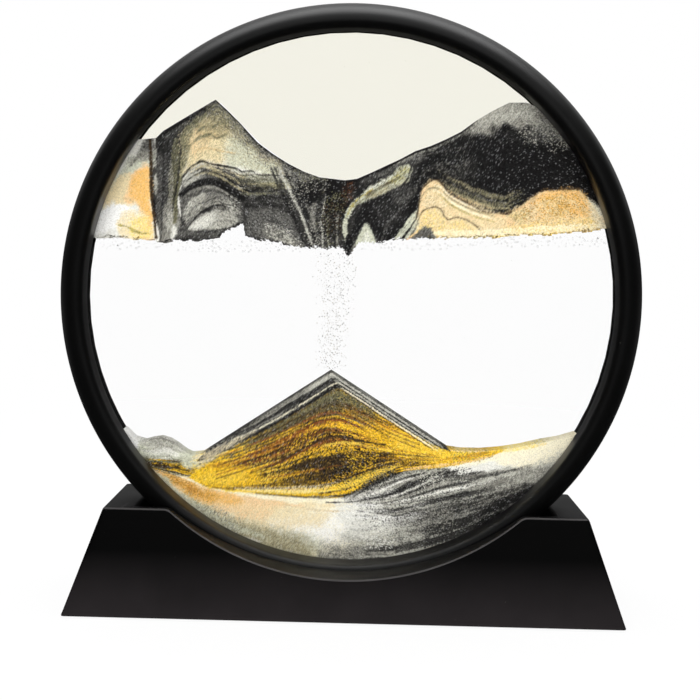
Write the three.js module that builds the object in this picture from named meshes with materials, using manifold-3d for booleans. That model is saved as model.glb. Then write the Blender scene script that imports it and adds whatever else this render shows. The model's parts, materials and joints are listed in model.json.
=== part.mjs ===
// A moving sand art frame: a round liquid cell with coloured sand, clamped between two half rings, that turns
// in the curved slot of a tapered base. Millimetres, +Z up, front towards -Y, origin on the table under the
// middle.
import * as THREE from "three";
import { mergeVertices } from "three/addons/utils/BufferGeometryUtils.js";
import Module from "manifold-3d";

const wasm = await Module();
wasm.setup();

// Fits
const FIT = 0.3; // gap between pieces that touch
const SLOT_PLAY = 0.4; // gap on each side of the ring in the base's slot

// Round frame
const RING_RADIUS = 90; // outside of the rim
const RING_DEPTH = 25; // front crest to rear crest
const CREST_INSET = 7; // rim to the crest of the moulding
const EDGE_ROUND = 2; // round from the crest into the window
const TONGUE_THICK = 1.2;
const TONGUE_LENGTH = 1.8;
const TONGUE_INSET = 1.5; // rim to the tongue's outside

// Glass cell
const RIM_WALL = 4; // half ring outside the cell
const GLASS_THICK = 2;
const CELL_GAP = 6; // between the two discs
const FRONT_LIP = 4.7; // how far the front half ring reaches over its disc
const REAR_LIP = 2.6;
const REAR_BEVEL = 2.4; // how far the rear window widens from the disc to its crest
const SPACER_WIDTH = 3.3;
const SEAL_WIDTH = 1.2;
const SEAL_SINK = 0.7; // depth of the seal's groove in the spacer
const DRAWN_RADIUS = 82.1; // cell radius that the sand lines are drawn for
const PORT_RADIUS = 1.2; // clear of the seal grooves
const PORT_SINK = 0.6; // how far the plug's head lies under the rim

// Base
const BASE_HEIGHT = 30.3;
const BASE_SHOULDER = 9.8; // flat top beyond each end of the slot
const BASE_END_FLARE = 10; // how far each end leans out from top to foot
const BASE_SIDE_FLARE = 10.8; // how far front and back lean out
const SLOT_WALL = 2.8; // front and back walls of the slot, at the top
const BASE_CORNER = 1.2;
const BASE_BEVEL = 0.6; // along the upper edges
const BASE_WALL = 2.2;
const CRADLE_FLOOR = 3.5; // plastic under the lowest point of the ring
const LIP_HEIGHT = 7.9; // lowest point of the lip over the bottom of the ring
const LIP_TIGHTER = 2; // the lip's arc is this much tighter than the rim
const LIP_FILLET = 4; // where the lip's arc runs out into the flat top
const RIB_THICK = 1.6;
const RIB_PITCH = 16;
const RIB_SINK = 1; // ribs end this far above the rim
const FOOT_RADIUS = 5;
const FOOT_PROUD = 0.5;
const FOOT_POCKET = 1;
const FOOT_BOSS_WALL = 1.5;
const FOOT_FROM_END = 11;
const FOOT_FROM_SIDE = 10;

// Roundness
const RING_SIDES = 64;
const SLOT_SIDES = 128;
const RIM_STEPS = 9; // facets from the seam to the crest
const CREST_STEPS = 4; // facets from the crest into the window
const SMALL_SIDES = 16;
const CORNER_STEPS = 3;
const FILLET_STEPS = 6;
const LIP_STEPS = 24;
const SAND_STEP = 3; // spacing of points along a sand line

// Heights and radii that follow
const BASE_Z = FOOT_PROUD;
const TOP_Z = BASE_Z + BASE_HEIGHT;
const SLOT_FLOOR_Z = BASE_Z + CRADLE_FLOOR;
const CENTRE_Z = SLOT_FLOOR_Z + FIT + RING_RADIUS;
const CREST_RADIUS = RING_RADIUS - CREST_INSET;
const GLASS_RADIUS = RING_RADIUS - RIM_WALL - FIT;
const FRONT_WINDOW = GLASS_RADIUS - FRONT_LIP;
const REAR_WINDOW = GLASS_RADIUS - REAR_LIP;
const REAR_CREST = REAR_WINDOW + REAR_BEVEL;
const GLASS_IN = CELL_GAP / 2;
const GLASS_OUT = GLASS_IN + GLASS_THICK;
const SPACER_HALF = GLASS_IN - FIT;
const SPACER_BORE = GLASS_RADIUS - SPACER_WIDTH;
const FILL_RADIUS = SPACER_BORE - FIT;
const FILL_HALF = GLASS_IN - FIT;
const SLOT_HALF = RING_DEPTH / 2 + SLOT_PLAY;
const SLOT_MOUTH = Math.sqrt((RING_RADIUS + FIT) ** 2 - (CENTRE_Z - TOP_Z) ** 2);
const TOP_HALF_LENGTH = SLOT_MOUTH + BASE_SHOULDER;
const TOP_HALF_DEPTH = SLOT_HALF + SLOT_WALL;
const FOOT_HALF_LENGTH = TOP_HALF_LENGTH + BASE_END_FLARE;
const FOOT_HALF_DEPTH = TOP_HALF_DEPTH + BASE_SIDE_FLARE;

const opaque = (color, roughness) => new THREE.MeshStandardMaterial({ color, roughness });
const clear = (color, roughness, opacity) =>
  new THREE.MeshStandardMaterial({ color, roughness, opacity, transparent: true });
const blackPlastic = opaque(0x171616, 0.35);
const rubber = opaque(0x1d1d1d, 0.85);
const sealRubber = opaque(0x2a2a2a, 0.7);
const glass = clear(0xf4f7f3, 0.03, 0.15);
const liquid = clear(0xf7f5ea, 0.05, 0.2);
const blackSand = opaque(0x35353a, 0.9);
const goldSand = opaque(0xd9a233, 0.9);
const peachSand = opaque(0xefb36c, 0.9);
const whiteSand = opaque(0xece6d2, 0.9);
const greySand = opaque(0x8b8d8c, 0.9);

// Turns a closed geometry into a solid for joining and cutting, and a solid back into a geometry.
function solid(geometry) {
  const bare = new THREE.BufferGeometry();
  bare.setAttribute("position", geometry.getAttribute("position"));
  bare.setIndex(geometry.index);
  const merged = mergeVertices(bare, 1e-4);
  return new wasm.Manifold(
    new wasm.Mesh({
      numProp: 3,
      vertProperties: merged.attributes.position.array,
      triVerts: new Uint32Array(merged.index.array),
    }),
  );
}

function geometryOf(made) {
  const mesh = made.getMesh();
  const geometry = new THREE.BufferGeometry();
  geometry.setAttribute("position", new THREE.BufferAttribute(mesh.vertProperties, 3));
  geometry.setIndex(new THREE.BufferAttribute(mesh.triVerts, 1));
  geometry.computeVertexNormals();
  return geometry;
}

// A profile of [radius, y] points turned about the ring's axis, which runs along Y. The first point repeats at
// the end, unless the profile starts and ends on the axis.
function turned(profile, sides = RING_SIDES) {
  const points = profile.map(([r, y]) => new THREE.Vector2(r, y));
  const onAxis = profile[0][0] === 0;
  if (!onAxis) points.push(points[0].clone());
  return new THREE.LatheGeometry(points, sides);
}

// Points of an elliptical arc about (cx, cy), from angle a to angle b in quarter turns.
function arc(cx, cy, rx, ry, a, b, steps) {
  return Array.from({ length: steps + 1 }, (_, i) => {
    const t = ((a + ((b - a) * i) / steps) * Math.PI) / 2;
    return [cx + rx * Math.cos(t), cy + ry * Math.sin(t)];
  });
}

// A wall through a stack of outlines with equal numbers of points, closed at both ends.
function loft(sections) {
  const count = sections[0].outline.length;
  const position = sections.flatMap(({ outline, z }) => outline.flatMap((p) => [p.x, p.y, z]));
  const index = [];
  for (let s = 0; s + 1 < sections.length; s++)
    for (let i = 0; i < count; i++) {
      const a = s * count + i;
      const b = s * count + ((i + 1) % count);
      index.push(a, b, b + count, a, b + count, a + count);
    }
  const last = (sections.length - 1) * count;
  for (const [a, b, c] of THREE.ShapeUtils.triangulateShape(sections[0].outline, [])) {
    index.push(c, b, a);
    index.push(last + a, last + b, last + c);
  }
  const geometry = new THREE.BufferGeometry();
  geometry.setAttribute("position", new THREE.Float32BufferAttribute(position, 3));
  geometry.setIndex(index);
  return geometry;
}

function roundedRectangle(halfLength, halfDepth, radius) {
  const x = halfLength - radius;
  const y = halfDepth - radius;
  return [
    ...arc(x, y, radius, radius, 0, 1, CORNER_STEPS),
    ...arc(-x, y, radius, radius, 1, 2, CORNER_STEPS),
    ...arc(-x, -y, radius, radius, 2, 3, CORNER_STEPS),
    ...arc(x, -y, radius, radius, 3, 4, CORNER_STEPS),
  ].map(([px, py]) => new THREE.Vector2(px, py));
}

// An outline in the XZ plane, given as [x, z] points, run along Y from one depth to another.
function plate(outline, yFront, yRear) {
  const shape = new THREE.Shape(outline.map(([x, z]) => new THREE.Vector2(x, z)));
  const geometry = new THREE.ExtrudeGeometry(shape, { depth: yRear - yFront, bevelEnabled: false });
  geometry.rotateX(Math.PI / 2);
  geometry.translate(0, yRear, 0);
  return geometry;
}

function upright(radius, z0, z1, x, y) {
  const geometry = new THREE.CylinderGeometry(radius, radius, z1 - z0, SMALL_SIDES);
  geometry.rotateX(Math.PI / 2);
  geometry.translate(x, y, (z0 + z1) / 2);
  return geometry;
}

function block(x0, x1, y0, y1, z0, z1) {
  const geometry = new THREE.BoxGeometry(x1 - x0, y1 - y0, z1 - z0);
  geometry.translate((x0 + x1) / 2, (y0 + y1) / 2, (z0 + z1) / 2);
  return geometry;
}

function add(parent, name, geometry, material) {
  const mesh = new THREE.Mesh(geometry, material);
  mesh.name = name;
  parent.add(mesh);
}

// The space that the base leaves open over its lip: an arc a little tighter than the rim, whose ends run out
// through fillets into the flat top. Grown by a wall, it bounds the hollow underside.
function lipCut(grow) {
  const radius = RING_RADIUS - LIP_TIGHTER + grow;
  const fillet = LIP_FILLET - grow;
  const lowest = CENTRE_Z - RING_RADIUS + LIP_HEIGHT - grow;
  const centre = lowest + radius;
  const level = TOP_Z - LIP_FILLET;
  const reach = Math.sqrt((radius + fillet) ** 2 - (centre - level) ** 2);
  const swing = (2 * Math.atan2(centre - level, reach)) / Math.PI;
  return [
    [reach, centre],
    [-reach, centre],
    ...arc(-reach, level, fillet, fillet, 1, swing, FILLET_STEPS),
    ...arc(0, centre, radius, radius, 2 + swing, 4 - swing, LIP_STEPS).slice(1, -1),
    ...arc(reach, level, fillet, fillet, 2 - swing, 1, FILLET_STEPS),
  ];
}

function buildBase() {
  const base = new THREE.Group();
  const section = (z, inset) => {
    const fall = (TOP_Z - z) / BASE_HEIGHT;
    const halfLength = TOP_HALF_LENGTH + fall * BASE_END_FLARE - inset;
    const halfDepth = TOP_HALF_DEPTH + fall * BASE_SIDE_FLARE - inset;
    return { outline: roundedRectangle(halfLength, halfDepth, BASE_CORNER), z };
  };
  const outside = solid(
    loft([section(BASE_Z, 0), section(TOP_Z - BASE_BEVEL, 0), section(TOP_Z, BASE_BEVEL)]),
  );

  const slotRadius = (RING_RADIUS + FIT) / Math.cos(Math.PI / SLOT_SIDES);
  const disc = (radius, half) => {
    const geometry = turned([[0, -half], [radius, -half], [radius, half], [0, half]], SLOT_SIDES);
    geometry.translate(0, 0, CENTRE_Z);
    return solid(geometry);
  };
  const slot = disc(slotRadius, SLOT_HALF);
  const past = FOOT_HALF_DEPTH + FIT;
  const lip = solid(plate(lipCut(0), -past, past));

  // The hollow underside keeps one wall of plastic to every outer face, to the slot and to the lip.
  const hollow = solid(loft([section(BASE_Z - FIT, BASE_WALL), section(TOP_Z - BASE_WALL, BASE_WALL)]))
    .subtract(disc(slotRadius + BASE_WALL, SLOT_HALF + BASE_WALL))
    .subtract(solid(plate(lipCut(BASE_WALL), -past, past)));

  const footX = FOOT_HALF_LENGTH - FOOT_FROM_END;
  const footY = FOOT_HALF_DEPTH - FOOT_FROM_SIDE;
  const ribs = Math.floor((2 * footX) / RIB_PITCH) + 1;
  const kept = [];
  for (let i = 0; i < ribs; i++) {
    const x = (i - (ribs - 1) / 2) * RIB_PITCH;
    const [left, right] = [x - RIB_THICK / 2, x + RIB_THICK / 2];
    kept.push(block(left, right, -past, past, BASE_Z + RIB_SINK, TOP_Z));
  }
  const corners = [
    ["foot_front_left", -footX, -footY],
    ["foot_front_right", footX, -footY],
    ["foot_rear_left", -footX, footY],
    ["foot_rear_right", footX, footY],
  ];
  for (const [, x, y] of corners)
    kept.push(upright(FOOT_RADIUS + FIT + FOOT_BOSS_WALL, BASE_Z, TOP_Z, x, y));
  const cavity = kept.reduce((left, shape) => left.subtract(solid(shape)), hollow);

  let shell = outside.subtract(slot).subtract(lip).subtract(cavity);
  for (const [name, x, y] of corners) {
    const pocketTop = BASE_Z + FOOT_POCKET;
    shell = shell.subtract(solid(upright(FOOT_RADIUS + FIT, BASE_Z - FIT, pocketTop, x, y)));
    add(base, name, upright(FOOT_RADIUS, 0, pocketTop - FIT, x, y), rubber);
  }
  add(base, "base_shell", geometryOf(shell), blackPlastic);
  return base;
}

// Half ring: an elliptical outside, a crest that turns into the window, and a rebate for the cell. The front one
// carries the tongue and the rear one its groove.
function halfRing(turn, crest, window, joint) {
  const seam = FIT / 2;
  const rebate = GLASS_RADIUS + FIT;
  const shoulder = GLASS_OUT + FIT;
  const rim = arc(CREST_RADIUS, 0, CREST_INSET, RING_DEPTH / 2, 0, turn, RIM_STEPS);
  return [
    ...rim.map(([r, y]) => [r, Math.max(y, seam)]),
    ...crest,
    [window, shoulder],
    [rebate, shoulder],
    [rebate, seam],
    ...joint,
  ];
}

function buildFrame() {
  const frame = new THREE.Group();
  frame.position.z = CENTRE_Z;

  const seam = FIT / 2;
  const tongueOut = RING_RADIUS - TONGUE_INSET;
  const tongueIn = tongueOut - TONGUE_THICK;
  const tongue = [
    [tongueIn, seam],
    [tongueIn, -TONGUE_LENGTH],
    [tongueOut, -TONGUE_LENGTH],
    [tongueOut, seam],
  ];
  const grooveEnd = TONGUE_LENGTH + FIT;
  const groove = [
    [tongueIn - FIT, seam],
    [tongueIn - FIT, grooveEnd],
    [tongueOut + FIT, grooveEnd],
    [tongueOut + FIT, seam],
  ];
  const mirrored = (profile) => profile.map(([r, y]) => [r, -y]).reverse();

  // The port runs in from the top of the rim, through the half rings and the spacer.
  const portHole = solid(upright(PORT_RADIUS + FIT, SPACER_BORE - FIT, RING_RADIUS + FIT, 0, 0));
  const bored = (profile) => geometryOf(solid(turned(profile)).subtract(portHole));

  // The front crest is rounded into a plain window wall. The rear one ends in a bevel that opens outwards, so
  // that from the front no part of it shows behind the spacer.
  const crestY = RING_DEPTH / 2 - EDGE_ROUND;
  const crestWidth = CREST_RADIUS - FRONT_WINDOW;
  const roundCrest = arc(CREST_RADIUS, crestY, crestWidth, EDGE_ROUND, 1, 2, CREST_STEPS).slice(1);
  const front = halfRing(1, roundCrest, FRONT_WINDOW, tongue);
  const rearTurn = Math.acos((REAR_CREST - CREST_RADIUS) / CREST_INSET) / (Math.PI / 2);
  const rear = halfRing(rearTurn, [], REAR_WINDOW, groove);
  add(frame, "front_ring", bored(mirrored(front)), blackPlastic);
  add(frame, "rear_ring", bored(rear), blackPlastic);

  const disc = (y0, y1) => turned([[0, y0], [GLASS_RADIUS, y0], [GLASS_RADIUS, y1], [0, y1]]);
  add(frame, "front_glass", disc(-GLASS_OUT, -GLASS_IN), glass);
  add(frame, "rear_glass", disc(GLASS_IN, GLASS_OUT), glass);

  // Spacer with a seal groove in each face.
  const grooveIn = SPACER_BORE + SPACER_WIDTH / 2 - SEAL_WIDTH / 2 - FIT;
  const grooveOut = SPACER_BORE + SPACER_WIDTH / 2 + SEAL_WIDTH / 2 + FIT;
  const grooveFloor = SPACER_HALF - SEAL_SINK;
  const face = (s) => [
    [grooveOut, s * SPACER_HALF],
    [grooveOut, s * grooveFloor],
    [grooveIn, s * grooveFloor],
    [grooveIn, s * SPACER_HALF],
  ];
  const spacer = [
    [SPACER_BORE, -SPACER_HALF],
    ...face(-1).reverse(),
    [GLASS_RADIUS, -SPACER_HALF],
    [GLASS_RADIUS, SPACER_HALF],
    ...face(1),
    [SPACER_BORE, SPACER_HALF],
  ];
  add(frame, "cell_spacer", bored(spacer), blackPlastic);
  const seal = (y0, y1) =>
    turned([
      [grooveIn + FIT, y0],
      [grooveOut - FIT, y0],
      [grooveOut - FIT, y1],
      [grooveIn + FIT, y1],
    ]);
  const sealFace = GLASS_IN - FIT / 2;
  add(frame, "front_seal", seal(-sealFace, -grooveFloor - FIT / 2), sealRubber);
  add(frame, "rear_seal", seal(grooveFloor + FIT / 2, sealFace), sealRubber);
  add(frame, "port_plug", upright(PORT_RADIUS, SPACER_BORE, RING_RADIUS - PORT_SINK, 0, 0), sealRubber);

  fillCell(frame);
  return frame;
}

// The sand, drawn on the cell's middle plane from the ring's centre as lines of [x, z] points. Fallen sand lies
// in straight slopes with sharp peaks, so a line is straight between its points, unless it is a flowing one.
function flowing(points) {
  const tangent = (i) => {
    const [a, b] = [points[Math.max(i - 1, 0)], points[Math.min(i + 1, points.length - 1)]];
    return (b[1] - a[1]) / (b[0] - a[0]);
  };
  return points.flatMap(([x0, z0], i) => {
    if (i + 1 === points.length) return [[x0, z0]];
    const [x1, z1] = points[i + 1];
    const width = x1 - x0;
    const steps = Math.max(1, Math.round(width / SAND_STEP));
    return Array.from({ length: steps }, (_, k) => {
      const t = k / steps;
      const bend = t * t * (3 - 2 * t);
      const rise = t * (1 - t) * ((1 - t) * tangent(i) - t * tangent(i + 1)) * width;
      return [x0 + t * width, z0 + bend * (z1 - z0) + rise];
    });
  });
}

function fillCell(frame) {
  const edge = DRAWN_RADIUS + FIT;
  const half = FIT / 2;
  const drawnToCell = FILL_RADIUS / DRAWN_RADIUS;
  const upperCrest = [
    [-edge, 48.4], [-59.7, 48.6], [-41.6, 60.3],
    ...flowing([[-28.9, 47.9], [-19, 41.4], [-9.7, 37.6], [-2, 36.8], [4, 38.1], [14.7, 43.5], [32.9, 51.9]]),
    ...flowing([[41.8, 58], [47.2, 60.8], [52.3, 60.9], [60, 57], [edge, 52]]),
  ];
  const upperUnder = [
    [-edge, 18], [-60.5, 17.7], [-53.4, 18.5], [-33.6, 23.2], [-31.5, 20.1], [-12.4, 16.4], [-1.6, 14],
    [3, 16.5], [9.2, 18.1], [21.4, 20.1], [64.3, 22.4], [edge, 24.4],
  ];
  const rightGoldTop = flowing([
    [17, 18], [20.4, 35], [25.6, 37.3], [30.3, 34.6], [36.5, 30.2], [45.8, 28.2], [51.8, 30.4],
    [56.3, 34.5], [69.9, 35.4], [76.2, 30.9], [79.5, 23.5],
  ]);
  const lowerCrest = [
    ...flowing([[-edge, -36], [-69.6, -41.4], [-66.7, -44.6], [-58.8, -44], [-54.1, -47.1], [-44.9, -47.8]]),
    [-33.6, -39.3], [-5.3, -21.9],
    ...flowing([[29.3, -43.6], [33, -45.4], [45, -45.8], [60.5, -42.3], [71.9, -39.5], [edge, -38]]),
  ];
  const duneEnd = -47.65;
  const goldStart = -47.35;
  const capUnder = [[-46, -46.5], [-37.9, -46.3], [-7.4, -27.9], [-4.6, -25.8], [14, -36.8], [32, -44]];
  const goldUnder = flowing([
    [goldStart, -56.5], [-44.5, -59], [-37.8, -60], [-16.8, -60.8], [-6.3, -61.4], [1.5, -60.6], [9, -55.8],
    [15.4, -52], [31.6, -50.8], [41.2, -48.5], [47.5, -45],
  ]);
  const duneUnder = flowing([[-edge, -50], [-62, -51.8], [-55.6, -52.2], [duneEnd, -54.5]]);
  const driftUnder = [
    [2.5, -60.2], [4, -62.7], [12.5, -66.3], [23.7, -71.2], [33.3, -76.4], [40, -edge], [edge, -edge],
  ];
  const column = [[-59.2, 0], [-62, edge]];

  const disc = solid(
    turned([[0, -FILL_HALF], [FILL_RADIUS, -FILL_HALF], [FILL_RADIUS, FILL_HALF], [0, FILL_HALF]]),
  );
  const far = 2 * FILL_RADIUS;
  const region = (outline) => solid(plate(outline, -CELL_GAP, CELL_GAP));
  // A line moved up, or down, square to itself, so that the gap between two banks is even on steep slopes too.
  // Its ends can reach further out, to cut past another line's ends.
  const shifted = (line, shift, reach) => {
    const moved = line.map(([x, z], i) => {
      const [ax, az] = line[Math.max(i - 1, 0)];
      const [bx, bz] = line[Math.min(i + 1, line.length - 1)];
      const step = shift / Math.hypot(bx - ax, bz - az);
      return [x * drawnToCell - step * (bz - az), z * drawnToCell + step * (bx - ax)];
    });
    const [x0, z0] = moved[0];
    const [x1, z1] = moved[moved.length - 1];
    return reach ? [[x0 - reach, z0], ...moved, [x1 + reach, z1]] : moved;
  };
  const below = (line, shift, reach = 0) => {
    const top = shifted(line, shift, reach);
    return region([[top[0][0], -far], [top[top.length - 1][0], -far], ...top.reverse()]);
  };
  const above = (line, shift, reach = 0) => {
    const foot = shifted(line, shift, reach);
    return region([...foot, [foot[foot.length - 1][0], far], [foot[0][0], far]]);
  };
  const put = (name, made, material) => add(frame, name, geometryOf(made), material);

  put("liquid_above", disc.subtract(below(upperCrest, half)), liquid);
  put("liquid_below", disc.intersect(below(upperUnder, -half)).subtract(below(lowerCrest, half)), liquid);

  // The bank that is still up: dark sand, with gold under its right end and, past a leaning line, at its left.
  const bank = disc.intersect(below(upperCrest, -half)).subtract(below(upperUnder, half));
  const leftOf = (shift) => {
    const [[footX, footZ], [topX, topZ]] = shifted(column, 0, 0);
    return region([[-far, footZ], [footX + shift, footZ], [topX + shift, topZ], [-far, topZ]]);
  };
  put("upper_left_gold", bank.intersect(leftOf(-half)), peachSand);
  put("upper_right_gold", bank.intersect(below(rightGoldTop, -half)), peachSand);
  const dark = bank.subtract(leftOf(half)).subtract(below(rightGoldTop, half, FIT));
  put("upper_black_sand", dark, blackSand);

  // The banks that have settled, from the cap down.
  const fallen = disc.intersect(below(lowerCrest, -half));
  put("lower_black_cap", fallen.intersect(above(capUnder, half)), blackSand);
  const gold = fallen.intersect(above(goldUnder, half)).subtract(above(capUnder, -half));
  put("lower_gold_sand", gold, goldSand);
  put("lower_left_dune", fallen.intersect(above(duneUnder, half)), greySand);
  const rest = fallen.subtract(above(duneUnder, -half, FIT));
  const underGold = rest.subtract(above(goldUnder, -half, FIT));
  put("lower_grey_drift", underGold.intersect(above(driftUnder, half)), greySand);
  put("lower_white_basin", underGold.subtract(above(driftUnder, -half, FIT)), whiteSand);
}

const model = new THREE.Group();
model.add(buildBase(), buildFrame());

export default model;
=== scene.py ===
# %% [markdown]
# # A moving sand art frame
# A round glass cell holds clear liquid, coloured sand and a little air. It sits in a black plastic ring,
# and the ring stands loose in a curved slot, so that it can be turned over and the sand runs out again.
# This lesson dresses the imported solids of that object: they fix every size and place, and only the surface
# is made here.

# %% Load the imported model
import json
from math import cos, radians, sin, sqrt

import bmesh
import bpy
import numpy as np
from mathutils import Matrix, Vector
from mathutils.bvhtree import BVHTree


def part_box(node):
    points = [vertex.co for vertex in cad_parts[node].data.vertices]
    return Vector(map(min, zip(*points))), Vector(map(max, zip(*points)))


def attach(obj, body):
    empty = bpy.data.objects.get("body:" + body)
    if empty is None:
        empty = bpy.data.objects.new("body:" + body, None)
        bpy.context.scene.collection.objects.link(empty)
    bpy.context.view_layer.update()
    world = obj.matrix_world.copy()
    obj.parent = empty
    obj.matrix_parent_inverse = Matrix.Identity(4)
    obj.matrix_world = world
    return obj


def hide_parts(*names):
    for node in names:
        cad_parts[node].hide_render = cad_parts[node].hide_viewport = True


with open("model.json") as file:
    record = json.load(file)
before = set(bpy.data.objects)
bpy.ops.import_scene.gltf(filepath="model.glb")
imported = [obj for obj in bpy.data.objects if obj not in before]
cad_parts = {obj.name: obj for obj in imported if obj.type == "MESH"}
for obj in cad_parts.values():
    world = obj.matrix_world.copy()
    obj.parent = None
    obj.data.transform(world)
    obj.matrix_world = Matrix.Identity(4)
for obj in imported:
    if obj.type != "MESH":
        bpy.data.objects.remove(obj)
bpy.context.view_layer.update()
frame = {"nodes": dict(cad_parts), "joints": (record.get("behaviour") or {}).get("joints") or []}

MM = 0.001
nodes = frame["nodes"]
CENTRE_Z = frame["joints"][0]["pos_m"][2] / MM

# %% [markdown]
# ## The camera
# The picture was taken from close by, a little above the ring's centre and looking slightly down. A camera
# could be aimed by eye, but the sand below is drawn in the pixels of the picture, so the same eye point,
# focal length and three small turns are written here as numbers and serve both the camera and the drawing.

# %% Place the camera
PICTURE = 700
FOCAL_PIXELS = 1000
SENSOR = 36
EYE = Vector((2.85, -312.5, 111.1))
YAW, PITCH, ROLL = radians(-0.5), radians(5.85), radians(-1.27)

FORWARD = Vector((sin(YAW) * cos(PITCH), cos(YAW) * cos(PITCH), -sin(PITCH)))
LEVEL_RIGHT = Vector((cos(YAW), -sin(YAW), 0))
LEVEL_DOWN = FORWARD.cross(LEVEL_RIGHT)
RIGHT = cos(ROLL) * LEVEL_RIGHT + sin(ROLL) * LEVEL_DOWN
DOWN = cos(ROLL) * LEVEL_DOWN - sin(ROLL) * LEVEL_RIGHT


def new_object(name, data):
    """An object in the scene for a mesh, a lamp or a lens."""
    made = bpy.data.objects.new(name, data)
    bpy.context.scene.collection.objects.link(made)
    return made


lens = bpy.data.cameras.new("picture_camera")
lens.lens = FOCAL_PIXELS / PICTURE * SENSOR
lens.sensor_width = SENSOR
lens.clip_start = 0.01
camera = new_object("picture_camera", lens)
turn = Matrix((RIGHT, -DOWN, -FORWARD)).transposed()
camera.matrix_world = Matrix.Translation(EYE * MM) @ turn.to_4x4()
bpy.context.scene.camera = camera
print("lens", round(lens.lens, 2), "mm, eye", [round(v) for v in EYE], "mm")


def in_picture(points):
    """Where points in millimetres fall in the picture, in pixels from its upper left corner."""
    away = points - np.array(EYE)
    depth = away @ np.array(FORWARD)
    across = FOCAL_PIXELS * (away @ np.array(RIGHT)) / depth
    down = FOCAL_PIXELS * (away @ np.array(DOWN)) / depth
    return PICTURE / 2 + across, PICTURE / 2 + down


def in_cell(x, y):
    """The point in millimetres, in the middle of the cell's depth, that shows at a pixel."""
    ray = FORWARD + RIGHT * ((x - PICTURE / 2) / FOCAL_PIXELS) + DOWN * ((y - PICTURE / 2) / FOCAL_PIXELS)
    return EYE - ray * (EYE.y / ray.y)


# %% [markdown]
# ## Writing shaders as sums
# A material is a tree of nodes. Adding and linking each node by hand hides what the tree works out, so a
# small class wraps an output socket and lets it stand in a Python sum, and one method adds any other node.

# %% A socket that can be added and multiplied
class Wire:
    """An output socket. Each operator adds a Math node to the same tree."""

    def __init__(self, tree, socket):
        self.tree, self.socket = tree, socket

    def maths(self, operation, first, second):
        return self.tree.node("ShaderNodeMath", {"operation": operation}, {0: first, 1: second})

    def __add__(self, other):
        return self.maths("ADD", self, other)

    def __radd__(self, other):
        return self.maths("ADD", other, self)

    def __sub__(self, other):
        return self.maths("SUBTRACT", self, other)

    def __rsub__(self, other):
        return self.maths("SUBTRACT", other, self)

    def __mul__(self, other):
        return self.maths("MULTIPLY", self, other)

    def __rmul__(self, other):
        return self.maths("MULTIPLY", other, self)

    def __pow__(self, other):
        return self.maths("POWER", self, other)

    def above(self, level):
        return self.maths("GREATER_THAN", self, level)

    def largest(self, other):
        return self.maths("MAXIMUM", self, other)


# %% A node tree with one method for every node
class Tree:
    """A node tree, with one method that adds a node, its settings first and then its sockets."""

    def __init__(self, node_tree):
        self.nodes, self.links = node_tree.nodes, node_tree.links
        self.nodes.clear()

    def node(self, kind, settings=None, sockets=None, out=0):
        made = self.nodes.new(kind)
        for name, value in (settings or {}).items():
            if name == "stops":
                self.set_stops(made.color_ramp, value)
            else:
                setattr(made, name, value)
        for name, value in (sockets or {}).items():
            if isinstance(value, Wire):
                self.links.new(value.socket, made.inputs[name])
            else:
                made.inputs[name].default_value = value
        return Wire(self, made.outputs[out]) if len(made.outputs) else made

    def set_stops(self, ramp, stops):
        while len(ramp.elements) < len(stops):
            ramp.elements.new(1)
        for element, (place, level) in zip(ramp.elements, stops):
            element.position = place
            element.color = (level, level, level, 1)

    def blend(self, share, first, second):
        """Share of the second colour over the first."""
        return self.node("ShaderNodeMix", {"data_type": "RGBA"}, {0: share, 6: first, 7: second}, out=2)

    def noise(self, size, detail):
        """Soft noise whose lumps are about size millimetres, fixed to the piece."""
        place = self.node("ShaderNodeTexCoord", out="Object")
        sockets = {"Vector": place, "Scale": 1 / (size * MM), "Detail": detail}
        return self.node("ShaderNodeTexNoise", {}, sockets)

    def ramp(self, value, stops):
        return self.node("ShaderNodeValToRGB", {"stops": stops}, {"Fac": value})

    def bump(self, height, depth, strength):
        """A normal with bumps of depth millimetres."""
        sockets = {"Height": height, "Distance": depth * MM, "Strength": strength}
        return self.node("ShaderNodeBump", {}, sockets)

    def axis(self, place, name):
        """The X, Y or Z of a place or a direction."""
        return self.node("ShaderNodeSeparateXYZ", {}, {0: place}, out=name)

    def share(self, value, first, last, kind="LINEAR"):
        """How far a value is on its way from a first level to a last one, from 0 to 1."""
        sockets = {"Value": value, "From Min": first, "From Max": last}
        return self.node("ShaderNodeMapRange", {"interpolation_type": kind}, sockets)

    def finish(self, shader):
        self.node("ShaderNodeOutputMaterial", {}, {"Surface": shader})


def linear(red, green, blue):
    """Screen colours, from 0 to 255, as Blender's light values. Also works on rows of colours."""
    seen = np.array((red, green, blue)) / 255
    return np.where(seen <= 0.04045, seen / 12.92, ((seen + 0.055) / 1.055) ** 2.4)


def rgba(red, green, blue):
    return (*(float(v) for v in linear(red, green, blue)), 1.0)


def new_finish(name):
    material = bpy.data.materials.new(name)
    material.use_nodes = True
    return material, Tree(material.node_tree)


# %% [markdown]
# ## Black moulded plastic
# The ring and the base are satin black mouldings. Black plastic shows by what it mirrors, so its colour
# matters less than its roughness: a soft mottle in the gloss, a very fine moulded grain, and a few pale
# specks of dust. On the base, a paler grey is painted along the top edges as a thin highlight line; its
# colour is painted pale at the foot and nearly black higher up, as light from the table; and its top
# faces get their own black as painted shade.

# %% Satin black and rubber
# Heights over which the base's painted light from the table fades into painted shade
PAINTED_LIGHT_HEIGHTS = (0, 19)
MOTTLE_SHADES = (0.75, 1.25)
MOTTLE_BLUR, SPECK_BLUR = 0.16, 0.2
SPECK_SIZE, SPECK_SHARE, SPECK_GREY = 0.9, 0.35, (150, 148, 144)
GRAIN_DEPTH, GRAIN_STRENGTH = 0.02, 0.35


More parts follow.
